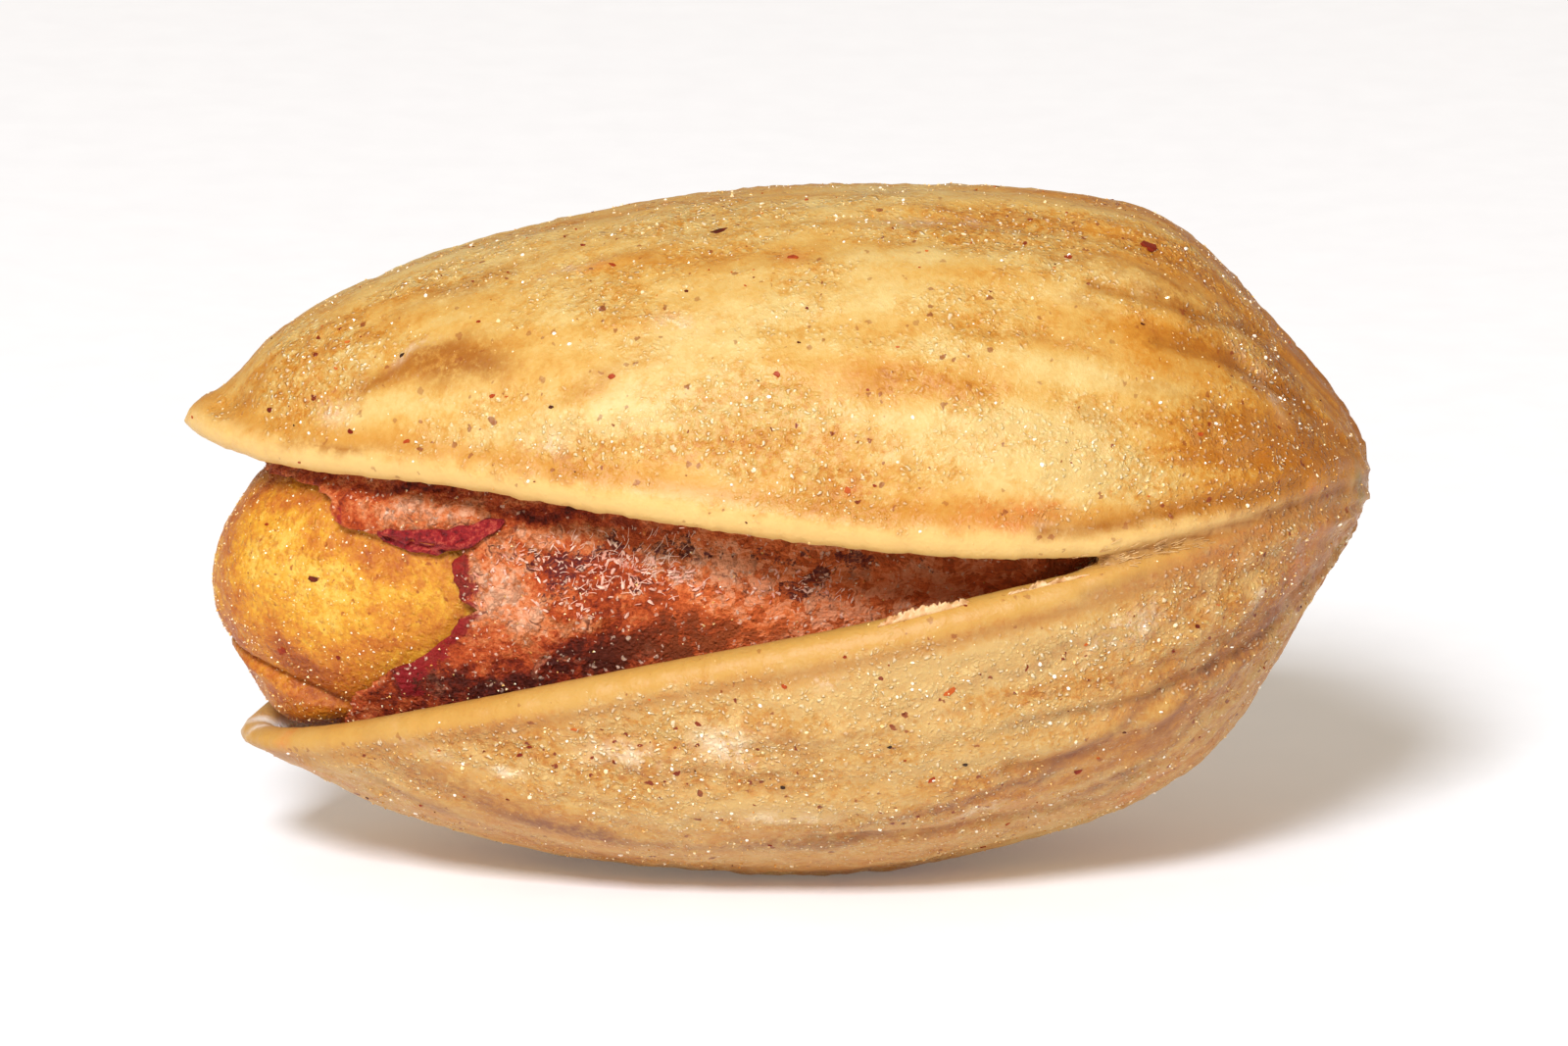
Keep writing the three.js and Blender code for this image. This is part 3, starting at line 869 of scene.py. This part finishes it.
# Heaps of shreds and tufts of fibres are (pixel x, pixel y, spread along, spread up in pixels, count,
# length in mm)
SHREDS = [
    (560, 570, 26, 12, 50, 0.13), (640, 582, 26, 16, 70, 0.15), (580, 615, 16, 18, 30, 0.13),
    (690, 590, 16, 12, 24, 0.14), (825, 598, 26, 12, 30, 0.12), (495, 600, 14, 20, 16, 0.1),
    (760, 600, 30, 8, 16, 0.13),
]
SKIN_TUFTS = [
    (650, 570, 26, 16, 70, 0.24), (690, 588, 14, 10, 24, 0.2), (600, 592, 20, 16, 30, 0.18),
    (545, 564, 22, 8, 20, 0.18), (830, 598, 24, 10, 24, 0.16),
]
SEAM_TUFTS = [
    (1140, 569, 16, 4, 40, 0.22), (1190, 558, 22, 3, 36, 0.24), (1113, 574, 6, 4, 24, 0.16),
]
SHRED_LIFT_MM = 0.02
SHRED_TILT = 0.4
FIBRE_POINTS = 5
FIBRE_SEED = 31


def drawn_spots(tree, draw, heaps):
    """Points drawn at random in heaps on a surface, each with its normal and its heap's length."""
    for px, py, spread_along, spread_up, count, length in heaps:
        for _ in range(count):
            yield *seen_point(tree, draw.gauss(px, spread_along), draw.gauss(py, spread_up)), length


def make_shreds(tree):
    """Pale torn shreds of seed skin that stand a little off it."""
    draw = random.Random(FLECK_SEED + 2)
    shape = bmesh.new()
    for spot, normal, length in drawn_spots(tree, draw, SHREDS):
        facing = normal + Vector([draw.gauss(0, SHRED_TILT) for _ in range(3)])
        size = length * draw.uniform(0.5, 1.2)
        width = size * draw.uniform(0.15, 0.4)
        add_fleck(shape, draw, spot + normal * SHRED_LIFT_MM * MM, facing, size, width, roll=math.pi)
    return new_piece(shape, "skin_shreds")


def make_fibres(name, tree, tufts, radius_mm, lift_mm, slant, tangle):
    """Fine fibres that lie in tufts on a surface. Their slant and how far it strays are in radians."""
    draw = random.Random(FIBRE_SEED)
    curve = bpy.data.curves.new(name, "CURVE")
    curve.dimensions = "3D"
    curve.bevel_depth = radius_mm * MM
    curve.bevel_resolution = 0
    curve.use_fill_caps = True
    for point, normal, length in drawn_spots(tree, draw, tufts):
        heading = draw.gauss(slant, tangle)
        bend = 2.4 * tangle * draw.uniform(-1, 1)
        step = length * draw.uniform(0.5, 1.2) / FIBRE_POINTS * MM
        level = level_along(normal)
        rise = normal.cross(level)
        place = point + normal * lift_mm * MM * draw.uniform(0.1, 1.0)
        spline = curve.splines.new("POLY")
        spline.points.add(FIBRE_POINTS - 1)
        for knot in spline.points:
            knot.co = (*place, 1.0)
            place = place + (level * math.cos(heading) + rise * math.sin(heading)) * step
            heading += bend / FIBRE_POINTS
    strands = add_object(name, curve)
    shape = bmesh.new()
    shape.from_mesh(evaluated_mesh(strands))
    bpy.data.objects.remove(strands)
    return new_piece(shape, name)


# Torn papery strips on the edge of the lower lip are (first pixel, last pixel, height in mm)
LIP_STRIPS = [((896, 638), (990, 614), 0.3), ((1030, 605), (1112, 585), 0.14)]
LIP_STRIP_THICKNESS_MM = 0.03
LIP_FOOT_PX = 2


def add_lip_strip(shape, tree, start, end, height):
    """One torn strip: a ragged ribbon that stands on the lip."""
    strip = bmesh.ops.create_grid(shape, x_segments=60, y_segments=3, size=1.0)["verts"]
    for vertex in strip:
        along, across = vertex.co.x, vertex.co.y
        px, py = (lerp(low, high, (along + 1) / 2) for low, high in zip(start, end))
        foot, _ = seen_point(tree, px, py + LIP_FOOT_PX)
        coarse = 0.5 * noise.noise(Vector((px * 0.09, 0, 1)))
        fine = 0.35 * noise.noise(Vector((px * 0.4, 0, 2)))
        ragged = 0.5 + coarse + fine
        rise = height * max(0.1, ragged) * math.sqrt(max(0.0, 1 - along ** 2)) * (across + 1) / 2
        lean = 0.06 * noise.noise(Vector((px * 0.12, across, 5))) * (across + 1)
        vertex.co = foot + (UP * rise - FORWARD * lean) * MM


def make_lip_strips(tree):
    """Torn papery strips along the edge of the lower lip."""
    shape = bmesh.new()
    for start, end, height in LIP_STRIPS:
        add_lip_strip(shape, tree, start, end, height)
    return new_sheet(shape, "lip_strips", LIP_STRIP_THICKNESS_MM)


# Shader nodes

class Value:
    """A result of a node, which can be added, multiplied and turned into masks and colours."""

    def __init__(self, nodes, socket):
        self.nodes = nodes
        self.socket = socket

    def __add__(self, other):
        return self.nodes.math("ADD", self, other)

    def __mul__(self, other):
        return self.nodes.math("MULTIPLY", self, other)

    def __rsub__(self, other):
        return self.nodes.math("SUBTRACT", other, self)

    __radd__ = __add__
    __rmul__ = __mul__

    def swing(self, reach):
        """A value that reaches from 0 to 1, as a shift to both sides of 0."""
        return (self + -0.5) * reach

    def fade(self, low, high, kind="SMOOTHSTEP"):
        """0 at low and 1 at high, and between them a smooth step or a straight line."""
        inputs = {"Value": self, "From Min": low, "From Max": high}
        return self.nodes.result("ShaderNodeMapRange", inputs, interpolation_type=kind)

    def between(self, under, over):
        """A colour that goes from under to over as this value goes from 0 to 1."""
        return self.nodes.result("ShaderNodeMix", {0: self, 6: under, 7: over}, 2, data_type="RGBA")

    def layered(self, *layers):
        """This colour with layers of (share, colour) laid over it in turn."""
        colour = self
        for share, tint in layers:
            colour = share.between(colour, tint)
        return colour

    def ramp(self, *stops):
        """A colour for each value, from (value, colour) stops."""
        made = self.nodes.add("ShaderNodeValToRGB", {0: self})
        steps = made.color_ramp.elements
        while len(steps) < len(stops):
            steps.new(1.0)
        for step, (position, colour) in zip(steps, stops):
            step.position = position
            step.color = colour
        return Value(self.nodes, made.outputs[0])


class Nodes:
    """A node tree, with short calls that add nodes to it and hand back their results."""

    def __init__(self, tree):
        self.tree = tree

    def add(self, kind, inputs=None, **settings):
        """Adds a node. Each input is a plain value, or a result to link."""
        made = self.tree.nodes.new(kind)
        for name, value in settings.items():
            setattr(made, name, value)
        for name, value in (inputs or {}).items():
            if isinstance(value, Value):
                self.tree.links.new(value.socket, made.inputs[name])
            else:
                made.inputs[name].default_value = value
        return made

    def result(self, kind, inputs=None, output=0, **settings):
        """Adds a node and hands back one of its results."""
        return Value(self, self.add(kind, inputs, **settings).outputs[output])

    def lead(self, node, **results):
        """Links results to a node's sockets."""
        for name, value in results.items():
            self.tree.links.new(value.socket, node.inputs[name.replace("_", " ")])

    def math(self, operation, first, second):
        """A sum, product or other result of two values."""
        return self.result("ShaderNodeMath", {0: first, 1: second}, operation=operation)

    def attribute(self, name):
        """A layer of values that the piece's vertices keep."""
        return self.result("ShaderNodeAttribute", output="Fac", attribute_name=name)

    def stretched(self, vector, along, across, up):
        """A vector scaled along each axis."""
        return self.result("ShaderNodeMapping", {"Vector": vector, "Scale": (along, across, up)})

    def millimetres(self):
        """The object's own coordinates in mm."""
        coordinates = self.result("ShaderNodeTexCoord", output="Object")
        return self.stretched(coordinates, 1 / MM, 1 / MM, 1 / MM)

    def warped(self, vector, scale, push):
        """A vector pushed about by noise."""
        inputs = {"Vector": vector, "Scale": scale, "Detail": 2.0}
        drift = self.result("ShaderNodeTexNoise", inputs, "Color")
        moved = self.result("ShaderNodeVectorMath", {0: drift, 1: (push,) * 3}, operation="MULTIPLY")
        return self.result("ShaderNodeVectorMath", {0: vector, 1: moved}, operation="ADD")

    def clouds(self, vector, scale, detail=5.0, roughness=0.65):
        """Noise whose contrast is drawn out, so that it reaches from 0 to 1."""
        inputs = {"Vector": vector, "Scale": scale, "Detail": detail, "Roughness": roughness}
        return self.result("ShaderNodeTexNoise", inputs).fade(0.3, 0.7, "LINEAR")

    def cells(self, vector, scale):
        """Packed cells: the distance from each one's middle, and two random values for each."""
        made = self.add("ShaderNodeTexVoronoi", {"Vector": vector, "Scale": scale})
        drawn = self.add("ShaderNodeSeparateColor", {0: Value(self, made.outputs["Color"])})
        return [Value(self, s) for s in (made.outputs["Distance"], drawn.outputs[0], drawn.outputs[1])]

    def scraps(self, vector, scale):
        """A value for each of many packed scraps of uneven outline, from 0 to 1."""
        return self.cells(self.warped(vector, 6.0, 0.3), scale)[1]

    def specks(self, vector, scale, size, share):
        """A mask of scattered specks."""
        inputs = {"Vector": vector, "Scale": scale, "Size": size, "Share": share}
        return self.result("ShaderNodeGroup", inputs, "Mask", node_tree=SPECKS)

    def grains(self, vector, scale):
        """Height of packed grains, and a mask of the gaps between them."""
        made = self.add("ShaderNodeGroup", {"Vector": vector, "Scale": scale}, node_tree=GRAINS)
        return Value(self, made.outputs["Height"]), Value(self, made.outputs["Gaps"])

    def bump(self, height, depth_mm):
        """A normal that follows a height from 0 to 1."""
        inputs = {"Height": height, "Strength": 1.0, "Distance": depth_mm * MM}
        return self.result("ShaderNodeBump", inputs)


def new_group(name, inputs, outputs):
    """A node group's nodes, the values that lead into it, and the node that takes its results."""
    group = bpy.data.node_groups.new(name, "ShaderNodeTree")
    for direction, sockets in (("INPUT", inputs), ("OUTPUT", outputs)):
        for socket in sockets:
            kind = "NodeSocketVector" if socket == "Vector" else "NodeSocketFloat"
            group.interface.new_socket(socket, in_out=direction, socket_type=kind)
    nodes = Nodes(group)
    given = nodes.add("NodeGroupInput").outputs
    return nodes, [Value(nodes, given[socket]) for socket in inputs], nodes.add("NodeGroupOutput")


def speck_group():
    """Scattered specks of uneven outline: a share of the cells each hold one."""
    nodes, (vector, scale, size, share), end = new_group(
        "specks", ["Vector", "Scale", "Size", "Share"], ["Mask"])
    distance, lot, girth = nodes.cells(nodes.warped(vector, 7.0, 0.2), scale)
    reach = size * (girth + 0.35)
    nodes.lead(end, Mask=distance.fade(reach, reach * 0.7) * nodes.math("LESS_THAN", lot, share))
    return nodes.tree


def grain_group():
    """Packed rounded grains of uneven size: their height, and a mask of the gaps between them."""
    nodes, (vector, scale), end = new_group("grains", ["Vector", "Scale"], ["Height", "Gaps"])
    distance, size, _ = nodes.cells(nodes.warped(vector, 4.0, 0.25), scale)
    broken = nodes.clouds(vector, scale * 2.0, 3.0)
    height = distance.fade(0.65, 0.05) * (size + 0.3) + broken * 0.25
    nodes.lead(end, Height=height, Gaps=distance.fade(0.32, 0.62))
    return nodes.tree


SPECKS = speck_group()
GRAINS = grain_group()


def new_material(name, **plain):
    """A material with a Principled shader whose plain inputs are set, and its nodes."""
    material = bpy.data.materials.new(name)
    material.use_nodes = True
    shader = material.node_tree.nodes["Principled BSDF"]
    for socket, value in plain.items():
        shader.inputs[socket.replace("_", " ")].default_value = value
    return material, Nodes(material.node_tree), shader


# Materials

SHELL_PALE = srgb(217, 184, 114)
SHELL_CREAM = srgb(208, 160, 79)
SHELL_HONEY = srgb(196, 129, 39)
SHELL_AMBER = srgb(172, 100, 18)
SHELL_BROWN = srgb(150, 84, 14)
CRUST_CREAM = srgb(231, 197, 126)
BEAD_UPPER = srgb(228, 187, 114)
BEAD_LOWER = srgb(197, 147, 68)
# Painted shade for the groove under the lower bead
LOWER_GROOVE_PAINTED_SHADE = srgb(170, 116, 58)
LOWER_TAN = srgb(188, 136, 74)
LOWER_PINK = srgb(174, 114, 70)
GREY_PURPLE = srgb(126, 78, 56)
BLUSH = srgb(212, 112, 54)
STEM_GREEN = srgb(110, 128, 60)
# White of salt, also used for painted glints on the crust's grains
SALT_WHITE_AND_PAINTED_GLINT = srgb(255, 238, 204)
RUST = srgb(128, 44, 8)
# The lining's pale cream, made near white as painted light for the shaded inside of the shell
LINING_CREAM_AND_PAINTED_LIGHT = srgb(250, 240, 222)


def shell_material():
    """Cream to honey in streaks, with crust, salt, stains, creases, rusty specks and a pale lining; painted
    shade in the bead grooves, painted glints on the crust's grains and painted light in the lining.
    """
    material, nodes, shader = new_material(
        "salted_shell", Specular_IOR_Level=0.32, Subsurface_Weight=0.12, Subsurface_Scale=0.35 * MM,
        Subsurface_Radius=(1.0, 0.6, 0.3))
    at = nodes.millimetres()
    patchy = nodes.clouds(at, 2.2, 6.0)
    fine = nodes.clouds(at, 8.0, 5.0, 0.7)
    scraps = nodes.scraps(at, 9.0)
    height, gaps = nodes.grains(at, 11.0)
    upper = nodes.attribute("upper")
    lower = 1.0 - upper
    away = (nodes.attribute("from_lip") + patchy.swing(0.3)).fade(0.05, upper * 0.3 + 0.25)
    crust = (nodes.attribute("crust") + patchy.swing(0.5)).fade(0.0, 1.0) * away
    grit = (fine.swing(0.8) + scraps.swing(0.5)) * (crust * 0.7 + lower * 0.25 + 0.2)
    valley = nodes.attribute("ridge").fade(0.02, -0.07) * away * 0.3
    tone = nodes.attribute("tone") + patchy.swing(0.22) + valley + grit
    floury = crust * patchy.fade(0.35, 0.8) * (lower * 0.4 + 0.12)
    salted = nodes.attribute("flour") * (fine + patchy).fade(0.7, 1.3)
    stained = (patchy + fine).fade(0.3, 1.2) * 0.6
    creased = nodes.attribute("crease") * (0.15 + patchy * 0.35 + upper * 0.35)
    grown = tone.ramp((0.1, SHELL_PALE), (0.42, SHELL_CREAM), (0.74, SHELL_HONEY), (1.0, SHELL_AMBER))
    colour = grown.layered(
        (lower * 0.35, patchy.between(LOWER_TAN, LOWER_PINK)),
        (floury, CRUST_CREAM),
        (salted * 0.75, SALT_WHITE_AND_PAINTED_GLINT),
        ((1.0 - away) * 0.8, upper.between(BEAD_LOWER, BEAD_UPPER)),
        (nodes.attribute("brown") * (stained + 0.25), SHELL_BROWN),
        (nodes.attribute("grey") * (stained + 0.2), GREY_PURPLE),
        (nodes.attribute("blush") * (fine * 0.7 + 0.25), BLUSH),
        (nodes.attribute("green") * 0.7, STEM_GREEN),
        # Painted shade: the groove beside each bead is darkened, to honey above and to brown below
        (nodes.attribute("groove") * 0.65, lower.between(SHELL_HONEY, LOWER_GROOVE_PAINTED_SHADE)),
        (creased, lower.between(SHELL_BROWN, GREY_PURPLE)),
        (crust * gaps * 0.28, SHELL_AMBER),
        # Tops of the crust's grains whitened: partly white salt, partly painted glints
        (crust * height.fade(0.75, 1.1) * 0.6, SALT_WHITE_AND_PAINTED_GLINT),
        (nodes.attribute("seam") * (fine * 0.6 + 0.25), SHELL_BROWN),
        (nodes.specks(at, 5.0, 0.25, 0.24) * (crust * 0.6 + 0.4), RUST),
        # Pale lining, partly its own cream and partly painted light on the shaded inside of the shell
        (nodes.attribute("lining"), LINING_CREAM_AND_PAINTED_LIGHT))
    relief = height * (crust * 0.7 + 0.08) + fine * 0.15
    nodes.lead(
        shader, Base_Color=colour, Normal=nodes.bump(relief, 0.04), Roughness=crust * -0.16 + 0.42)
    return material


KERNEL_PALE = srgb(228, 182, 76)
KERNEL_YELLOW = srgb(218, 156, 38)
KERNEL_GOLD = srgb(204, 129, 28)
KERNEL_AMBER = srgb(182, 97, 18)
KERNEL_RUSSET = srgb(154, 70, 14)
KERNEL_HAZE = srgb(224, 168, 82)


def kernel_material():
    """Waxy yellow, toasted to russet towards its upper and lower sides and in patches."""
    material, nodes, shader = new_material(
        "roasted_kernel", Specular_IOR_Level=0.35, Subsurface_Weight=0.15, Subsurface_Scale=0.4 * MM,
        Subsurface_Radius=(1.0, 0.6, 0.15))
    at = nodes.millimetres()
    broad = nodes.clouds(at, 0.9, 5.0)
    patchy = nodes.clouds(at, 2.6, 6.0)
    fine = nodes.clouds(at, 8.0, 5.0, 0.7)
    scraps = nodes.scraps(at, 7.0)
    height, _ = nodes.grains(at, 9.0)
    level = nodes.result("ShaderNodeSeparateXYZ", {0: at}, "Z")
    sides = level.fade(4.6, 3.0) + level.fade(6.0, 7.6)
    marks = (
        nodes.attribute("bright") * -0.35, nodes.attribute("toasted") * 0.3,
        nodes.attribute("russet") * 0.42)
    uneven = broad.swing(0.25), patchy.swing(0.4), fine.swing(0.35), scraps.swing(0.15)
    roast = sum((sides * 0.22, *marks, *uneven), 0.5)
    grown = roast.ramp(
        (0.05, KERNEL_PALE), (0.3, KERNEL_YELLOW), (0.52, KERNEL_GOLD), (0.78, KERNEL_AMBER),
        (1.0, KERNEL_RUSSET))
    haze = height.fade(0.7, 1.1) * patchy.fade(0.3, 0.9)
    mottled = nodes.clouds(at, 5.0, 8.0, 0.8).fade(0.5, 0.8)
    colour = grown.layered(
        (haze * 0.45, KERNEL_HAZE),
        (mottled * 0.6, KERNEL_AMBER),
        (nodes.specks(at, 7.0, 0.24, 0.4) * 0.75, KERNEL_RUSSET))
    relief = height * 0.4 + fine * 0.3
    nodes.lead(shader, Base_Color=colour, Normal=nodes.bump(relief, 0.05), Roughness=fine * 0.2 + 0.3)
    return material


SKIN_DARK = srgb(84, 24, 8)
SKIN_DEEP = srgb(140, 42, 12)
SKIN_RED = srgb(198, 82, 32)
SKIN_ORANGE = srgb(230, 130, 72)
SKIN_PINK = srgb(244, 164, 120)
SKIN_PEACH = srgb(252, 184, 140)
SKIN_PALE = srgb(255, 214, 182)
SKIN_PURPLE = srgb(88, 26, 32)
SKIN_CRIMSON = srgb(150, 18, 26)
# Red-orange that is laid on as painted light towards the stem end, where the lips shade the skin
SKIN_ORANGE_PAINTED_LIGHT = srgb(255, 130, 60)


def skin_material():
    """Red-brown to peach in scraps and strands, cracked, with purple holes, pale threads and salt, and
    painted light towards the stem end where the lips shade it.
    """
    material, nodes, shader = new_material("seed_skin", Specular_IOR_Level=0.25)
    at = nodes.millimetres()
    broad = nodes.clouds(at, 1.2, 6.0)
    patchy = nodes.clouds(at, 3.2, 6.0, 0.7)
    fine = nodes.clouds(at, 9.0, 5.0, 0.72)
    scraps = nodes.scraps(at, 4.5)
    crumbs = nodes.scraps(at, 10.0)
    swirled = nodes.warped(at, 1.3, 0.8)
    strands = nodes.clouds(nodes.stretched(swirled, 3.0, 6.0, 26.0), 1.0, 5.0, 0.7)
    split = nodes.result(
        "ShaderNodeTexVoronoi", {"Vector": nodes.warped(at, 3.0, 0.5), "Scale": 1.5}, "Distance",
        feature="DISTANCE_TO_EDGE")
    pink = nodes.attribute("pink")
    cracked = (pink + broad).fade(0.4, 1.0) * patchy.fade(0.45, 0.75)
    height, _ = nodes.grains(at, 9.0)
    rough_edge = patchy.swing(1.3) + fine.swing(0.7)
    stemward = nodes.result("ShaderNodeSeparateXYZ", {0: at}, "X").fade(-3.5, 0.5)
    # Painted light: the skin is made lighter towards the stem end, where the lips shade it
    marks = (
        stemward * 0.16, pink * 0.32, stemward * (scraps.swing(0.5) + strands.swing(0.7)),
        # Orange patches lighten the skin, in part as painted light near the narrow end of the gape
        nodes.attribute("orange_and_painted_light") * 0.14, nodes.attribute("dark") * -0.44)
    uneven = broad.swing(0.35), patchy.swing(0.3), fine.swing(0.35), scraps.swing(0.2), crumbs.swing(0.16)
    bloom = sum((*marks, *uneven), 0.43)
    grown = bloom.ramp(
        (0.0, SKIN_DARK), (0.22, SKIN_DEEP), (0.45, SKIN_RED), (0.64, SKIN_ORANGE), (0.82, SKIN_PINK),
        (1.0, SKIN_PEACH))

    def patch(name, low, high):
        cover = nodes.attribute(name)
        return (cover + rough_edge).fade(low, high) * cover.fade(0.05, 0.35)

    holes = (strands + fine.swing(0.6)).fade(0.3, 0.6)
    thread = nodes.attribute("threads") + strands.swing(1.4)
    colour = grown.layered(
        # Painted light: brighter red-orange towards the stem end, in the shade of the lips
        (stemward * 0.42, SKIN_ORANGE_PAINTED_LIGHT),
        (split.fade(0.16, 0.05) * cracked * 0.3, SKIN_PEACH),
        (split.fade(0.045, 0.012) * cracked * 0.8, SKIN_DARK),
        (patch("purple", 0.5, 0.75) * (holes * 0.65 + 0.25), SKIN_PURPLE),
        (thread.fade(0.95, 1.2) * 0.85, SKIN_PALE),
        (patch("crimson", 0.3, 0.7) * 0.9, SKIN_CRIMSON),
        (nodes.specks(at, 11.0, 0.36, 0.3) * (patchy * 0.8 + 0.2), SKIN_PALE))
    relief = height * 0.5 + fine * 0.6 + scraps * 0.5 + split.fade(0.0, 0.12) * cracked
    nodes.lead(shader, Base_Color=colour, Normal=nodes.bump(relief, 0.06), Roughness=fine * 0.35 + 0.3)
    return material


def flap_material():
    """Dark crimson, paler in fine patches."""
    material, nodes, shader = new_material("curled_skin", Specular_IOR_Level=0.35)
    fine = nodes.clouds(nodes.millimetres(), 7.0, 5.0, 0.7)
    colour = fine.ramp((0.1, srgb(96, 8, 12)), (0.55, srgb(158, 22, 26)), (0.95, srgb(214, 96, 70)))
    nodes.lead(shader, Base_Color=colour, Normal=nodes.bump(fine, 0.05), Roughness=fine * 0.3 + 0.25)
    return material


def fleck_material():
    """Black to tan, by the shade that each fleck has."""
    material, nodes, shader = new_material("skin_fleck", Roughness=0.5, Specular_IOR_Level=0.2)
    shade = nodes.attribute("shade") + nodes.clouds(nodes.millimetres(), 9.0).swing(0.3)
    nodes.lead(shader, Base_Color=shade.ramp(
        (0.0, srgb(44, 22, 8)), (0.35, srgb(126, 30, 6)), (0.65, srgb(168, 62, 14)),
        (1.0, srgb(204, 104, 36))))
    return material


def fibre_material(name, dark, light):
    """Dark to light along thin papery shapes."""
    material, nodes, shader = new_material(name, Roughness=0.5)
    nodes.lead(shader, Base_Color=nodes.clouds(nodes.millimetres(), 4.0, 3.0).between(dark, light))
    return material


def salt_material(name, scale, whiter, shine):
    """Salt that is white in one grain and stained honey in another; the whitest grains stand in partly for
    glints, as painted highlights.
    """
    material, nodes, shader = new_material(name, Roughness=0.12, Specular_IOR_Level=shine)
    tint = nodes.clouds(nodes.millimetres(), scale, 2.0) + whiter
    nodes.lead(shader, Base_Color=tint.ramp(
        (0.05, srgb(204, 132, 48)), (0.3, srgb(234, 180, 96)), (0.55, srgb(250, 218, 154)),
        (0.85, srgb(255, 246, 226))))
    return material


def floor_material():
    """White, with a faint mottle and a faint glow."""
    material, nodes, shader = new_material(
        "pale_floor", Roughness=0.9, Emission_Color=(1.0, 1.0, 1.0, 1.0), Emission_Strength=0.1)
    tone = nodes.clouds(nodes.millimetres(), 0.8, 3.0)
    nodes.lead(shader, Base_Color=tone.between(srgb(246, 245, 244), srgb(250, 249, 248)))
    return material


# Floor and light

FLOOR_HALF = 0.4
LIGHT_PLACE = Vector((-0.12, -0.46, 0.38))
LIGHT_SIZE = 0.14
LIGHT_WATTS = 4.0
LIGHT_COLOUR = (0.93, 1.0, 1.12)
SURROUND_COLOUR = (1.0, 0.87, 0.72, 1)
SURROUND_STRENGTH = 0.46


def make_floor():
    """The white floor that the nut lies on, which is not part of it."""
    shape = bmesh.new()
    bmesh.ops.create_grid(shape, x_segments=1, y_segments=1, size=FLOOR_HALF)
    floor = new_piece(shape, "floor")
    floor.data.materials.append(floor_material())


def make_light():
    """A soft square light that faces the nut from the left, and a warm even surround."""
    data = bpy.data.lights.new("key_light", "AREA")
    data.color = LIGHT_COLOUR
    data.size = LIGHT_SIZE
    data.energy = LIGHT_WATTS
    light = add_object("key_light", data)
    light.location = LIGHT_PLACE
    light.rotation_euler = (CAMERA_AIM_MM * MM - LIGHT_PLACE).to_track_quat("-Z", "Y").to_euler()
    world = bpy.data.worlds.new("white_surround")
    world.use_nodes = True
    background = world.node_tree.nodes["Background"]
    background.inputs["Color"].default_value = SURROUND_COLOUR
    background.inputs["Strength"].default_value = SURROUND_STRENGTH
    bpy.context.scene.world = world
    bpy.context.scene.view_settings.view_transform = "Standard"


make_camera()
make_floor()
make_light()

shell = make_shell()
dress(shell, shell_material(), "shell", "shell")
kernel = make_kernel()
dress(kernel, kernel_material(), "kernel", "kernel")
skin = make_skin(kernel)
dress(skin, skin_material(), "kernel_skin", "kernel_skin")

nut_tree = surface_of(shell, kernel, skin)
dress(make_flap(nut_tree), flap_material(), "kernel_skin")
dress(make_flecks(nut_tree, shell), fleck_material(), "kernel_skin", smooth=False)

grain_faces = crusty_faces(shell, SALT_SEED, SALT_GRAINS, GRAINS_OFF_CRUST)
salt_grains = scatter("salt_grains", grain_faces, SALT_SEED, add_grain)
clear_salt = salt_material("salt_grain", scale=3.0, whiter=0.2, shine=0.8)
dress(salt_grains, clear_salt, "shell", smooth=False)
salt_dust = salt_material("salt_dust", scale=11.0, whiter=-0.05, shine=0.3)
dusty = [
    ("shell_dust", "shell", crusty_faces(shell, SALT_SEED + 1, SHELL_DUST, DUST_OFF_CRUST)),
    ("kernel_dust", "kernel", bare_faces(kernel, SALT_SEED + 2, KERNEL_DUST)),
    ("skin_dust", "kernel_skin", drawn_faces(skin, random.Random(SALT_SEED + 3), SKIN_DUST)),
]
for seed, (name, slot, faces) in enumerate(dusty, SALT_SEED + 1):
    dress(scatter(name, faces, seed, add_dust), salt_dust, slot, smooth=False)

pale_shred = fibre_material("pale_shred", srgb(206, 112, 84), srgb(255, 220, 192))
dress(make_shreds(surface_of(skin)), pale_shred, "kernel_skin", smooth=False)
pale_fibre = fibre_material("pale_fibre", srgb(232, 160, 130), srgb(255, 226, 200))
skin_fibres = make_fibres(
    "skin_fibres", nut_tree, SKIN_TUFTS, radius_mm=0.005, lift_mm=0.05, slant=0.7, tangle=0.6)
dress(skin_fibres, pale_fibre, "kernel_skin")
tan_fibre = fibre_material("tan_fibre", srgb(176, 122, 64), srgb(226, 186, 124))
seam_fibres = make_fibres(
    "seam_fibres", nut_tree, SEAM_TUFTS, radius_mm=0.007, lift_mm=0.02, slant=0.24, tangle=0.14)
dress(seam_fibres, tan_fibre, "shell")
lip_flake = fibre_material("lip_flake", srgb(196, 132, 70), srgb(240, 204, 150))
dress(make_lip_strips(surface_of(shell)), lip_flake, "shell")
